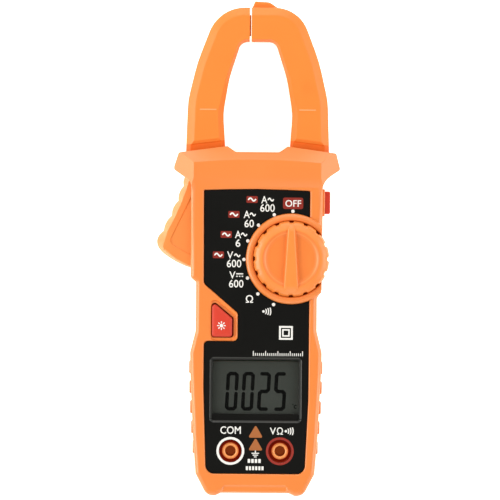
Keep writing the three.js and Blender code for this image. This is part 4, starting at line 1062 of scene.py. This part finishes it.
# ------------------------------------------------------------------ the pieces inside keep their CAD shape
INSIDE = [
    (STEEL, ["contact_bridge", "contact_plate_1", "contact_plate_2", "battery_spring_1", "battery_spring_2",
             "pivot_pin", "return_spring", "detent_spring", "crystal"]),
    (BRASS, ["com_socket_contact", "volt_socket_contact", "knob_wiper_inner", "knob_wiper_outer"]),
    (COPPER, ["fixed_coil"]),
    (IRON, ["fixed_core", "moving_core"]),
    (BOARD, ["main_board"]),
    (BLACK_PART, ["measuring_chip", "buzzer", "coil_lead", "light_switch", "hold_switch", "light_button_plunger",
                  "hold_button_plunger"]),
    (WHITE_PART, ["lcd_backlight", "lcd_connector", "knob_rotor"]),
    (CELL, ["battery_1", "battery_2"]),
    (RESISTOR, ["input_resistor"]),
]
for mat, names in INSIDE:
    for name in names:
        for material_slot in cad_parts[name].material_slots:
            material_slot.material = mat


# ------------------------------------------------------------------ floor, lights and camera
FLOOR_GLOW = 0.76
LOOK_AT = (0, 0.028, 0.015)


def floor():
    obj = solid([(-4, -4, 0), (4, -4, 0), (4, 4, 0), (-4, 4, 0)], [(0, 1, 2, 3)])
    obj.name = "floor"
    obj.location.z = -0.0002
    paint = material("floor_paint", (0.93, 0.93, 0.915), 0.9, specular=0.0, mottle=0.003)
    glow = {"Emission Color": (1, 1, 1, 1), "Emission Strength": FLOOR_GLOW}
    tune(paint.node_tree.nodes["Principled BSDF"], glow)
    obj.data.materials.append(paint)


def area_light(name, place_at, size, power, colour):
    data = bpy.data.lights.new(name, "AREA")
    data.shape, data.size, data.size_y = "RECTANGLE", size[0], size[1]
    data.energy, data.color = power, colour
    obj = bpy.data.objects.new(name, data)
    obj.location = place_at
    obj.visible_camera = False
    obj.rotation_euler = (Vector(LOOK_AT) - Vector(place_at)).to_track_quat("-Z", "Y").to_euler()
    bpy.context.scene.collection.objects.link(obj)


floor()
area_light("left_box", (-0.84, 0.05, 0.5), (0.9, 0.5), 8.8, (1, 0.98, 0.93))
area_light("right_box", (0.82, 0.05, 0.52), (0.9, 0.5), 5.9, (1, 0.98, 0.93))
area_light("far_box", (0, 1.0, 0.36), (0.9, 0.5), 3.8, (1, 0.98, 0.93))
area_light("near_box", (0, -0.95, 0.36), (0.9, 0.5), 2.8, (1, 0.96, 0.86))
area_light("far_top_box", (0, 0.75, 1.05), (1.0, 0.6), 2.8, (1, 0.98, 0.92))
area_light("near_top_box", (0, -0.7, 1.05), (1.0, 0.6), 2.3, (1, 0.97, 0.88))
world = bpy.data.worlds.new("studio")
bpy.context.scene.world = world
world.use_nodes = True
tune(world.node_tree.nodes["Background"], {"Color": (1, 1, 1, 1), "Strength": 0.2})

DISTANCE, FIELD, SENSOR = 3.0, 0.1925, 36
CAMERA_X, CAMERA_Y, CAMERA_ROLL = -0.0026, 0.0273, 0.48
camera_data = bpy.data.cameras.new("camera")
camera_data.sensor_width = SENSOR
camera_data.lens = SENSOR * DISTANCE / FIELD
camera_data.clip_end = 20
camera = bpy.data.objects.new("camera", camera_data)
camera.location = (CAMERA_X, CAMERA_Y, PANEL_TOP * MM + DISTANCE)
camera.rotation_euler = (0, 0, math.radians(CAMERA_ROLL))
bpy.context.scene.collection.objects.link(camera)
bpy.context.scene.camera = camera
bpy.context.scene.view_settings.view_transform = "Standard"
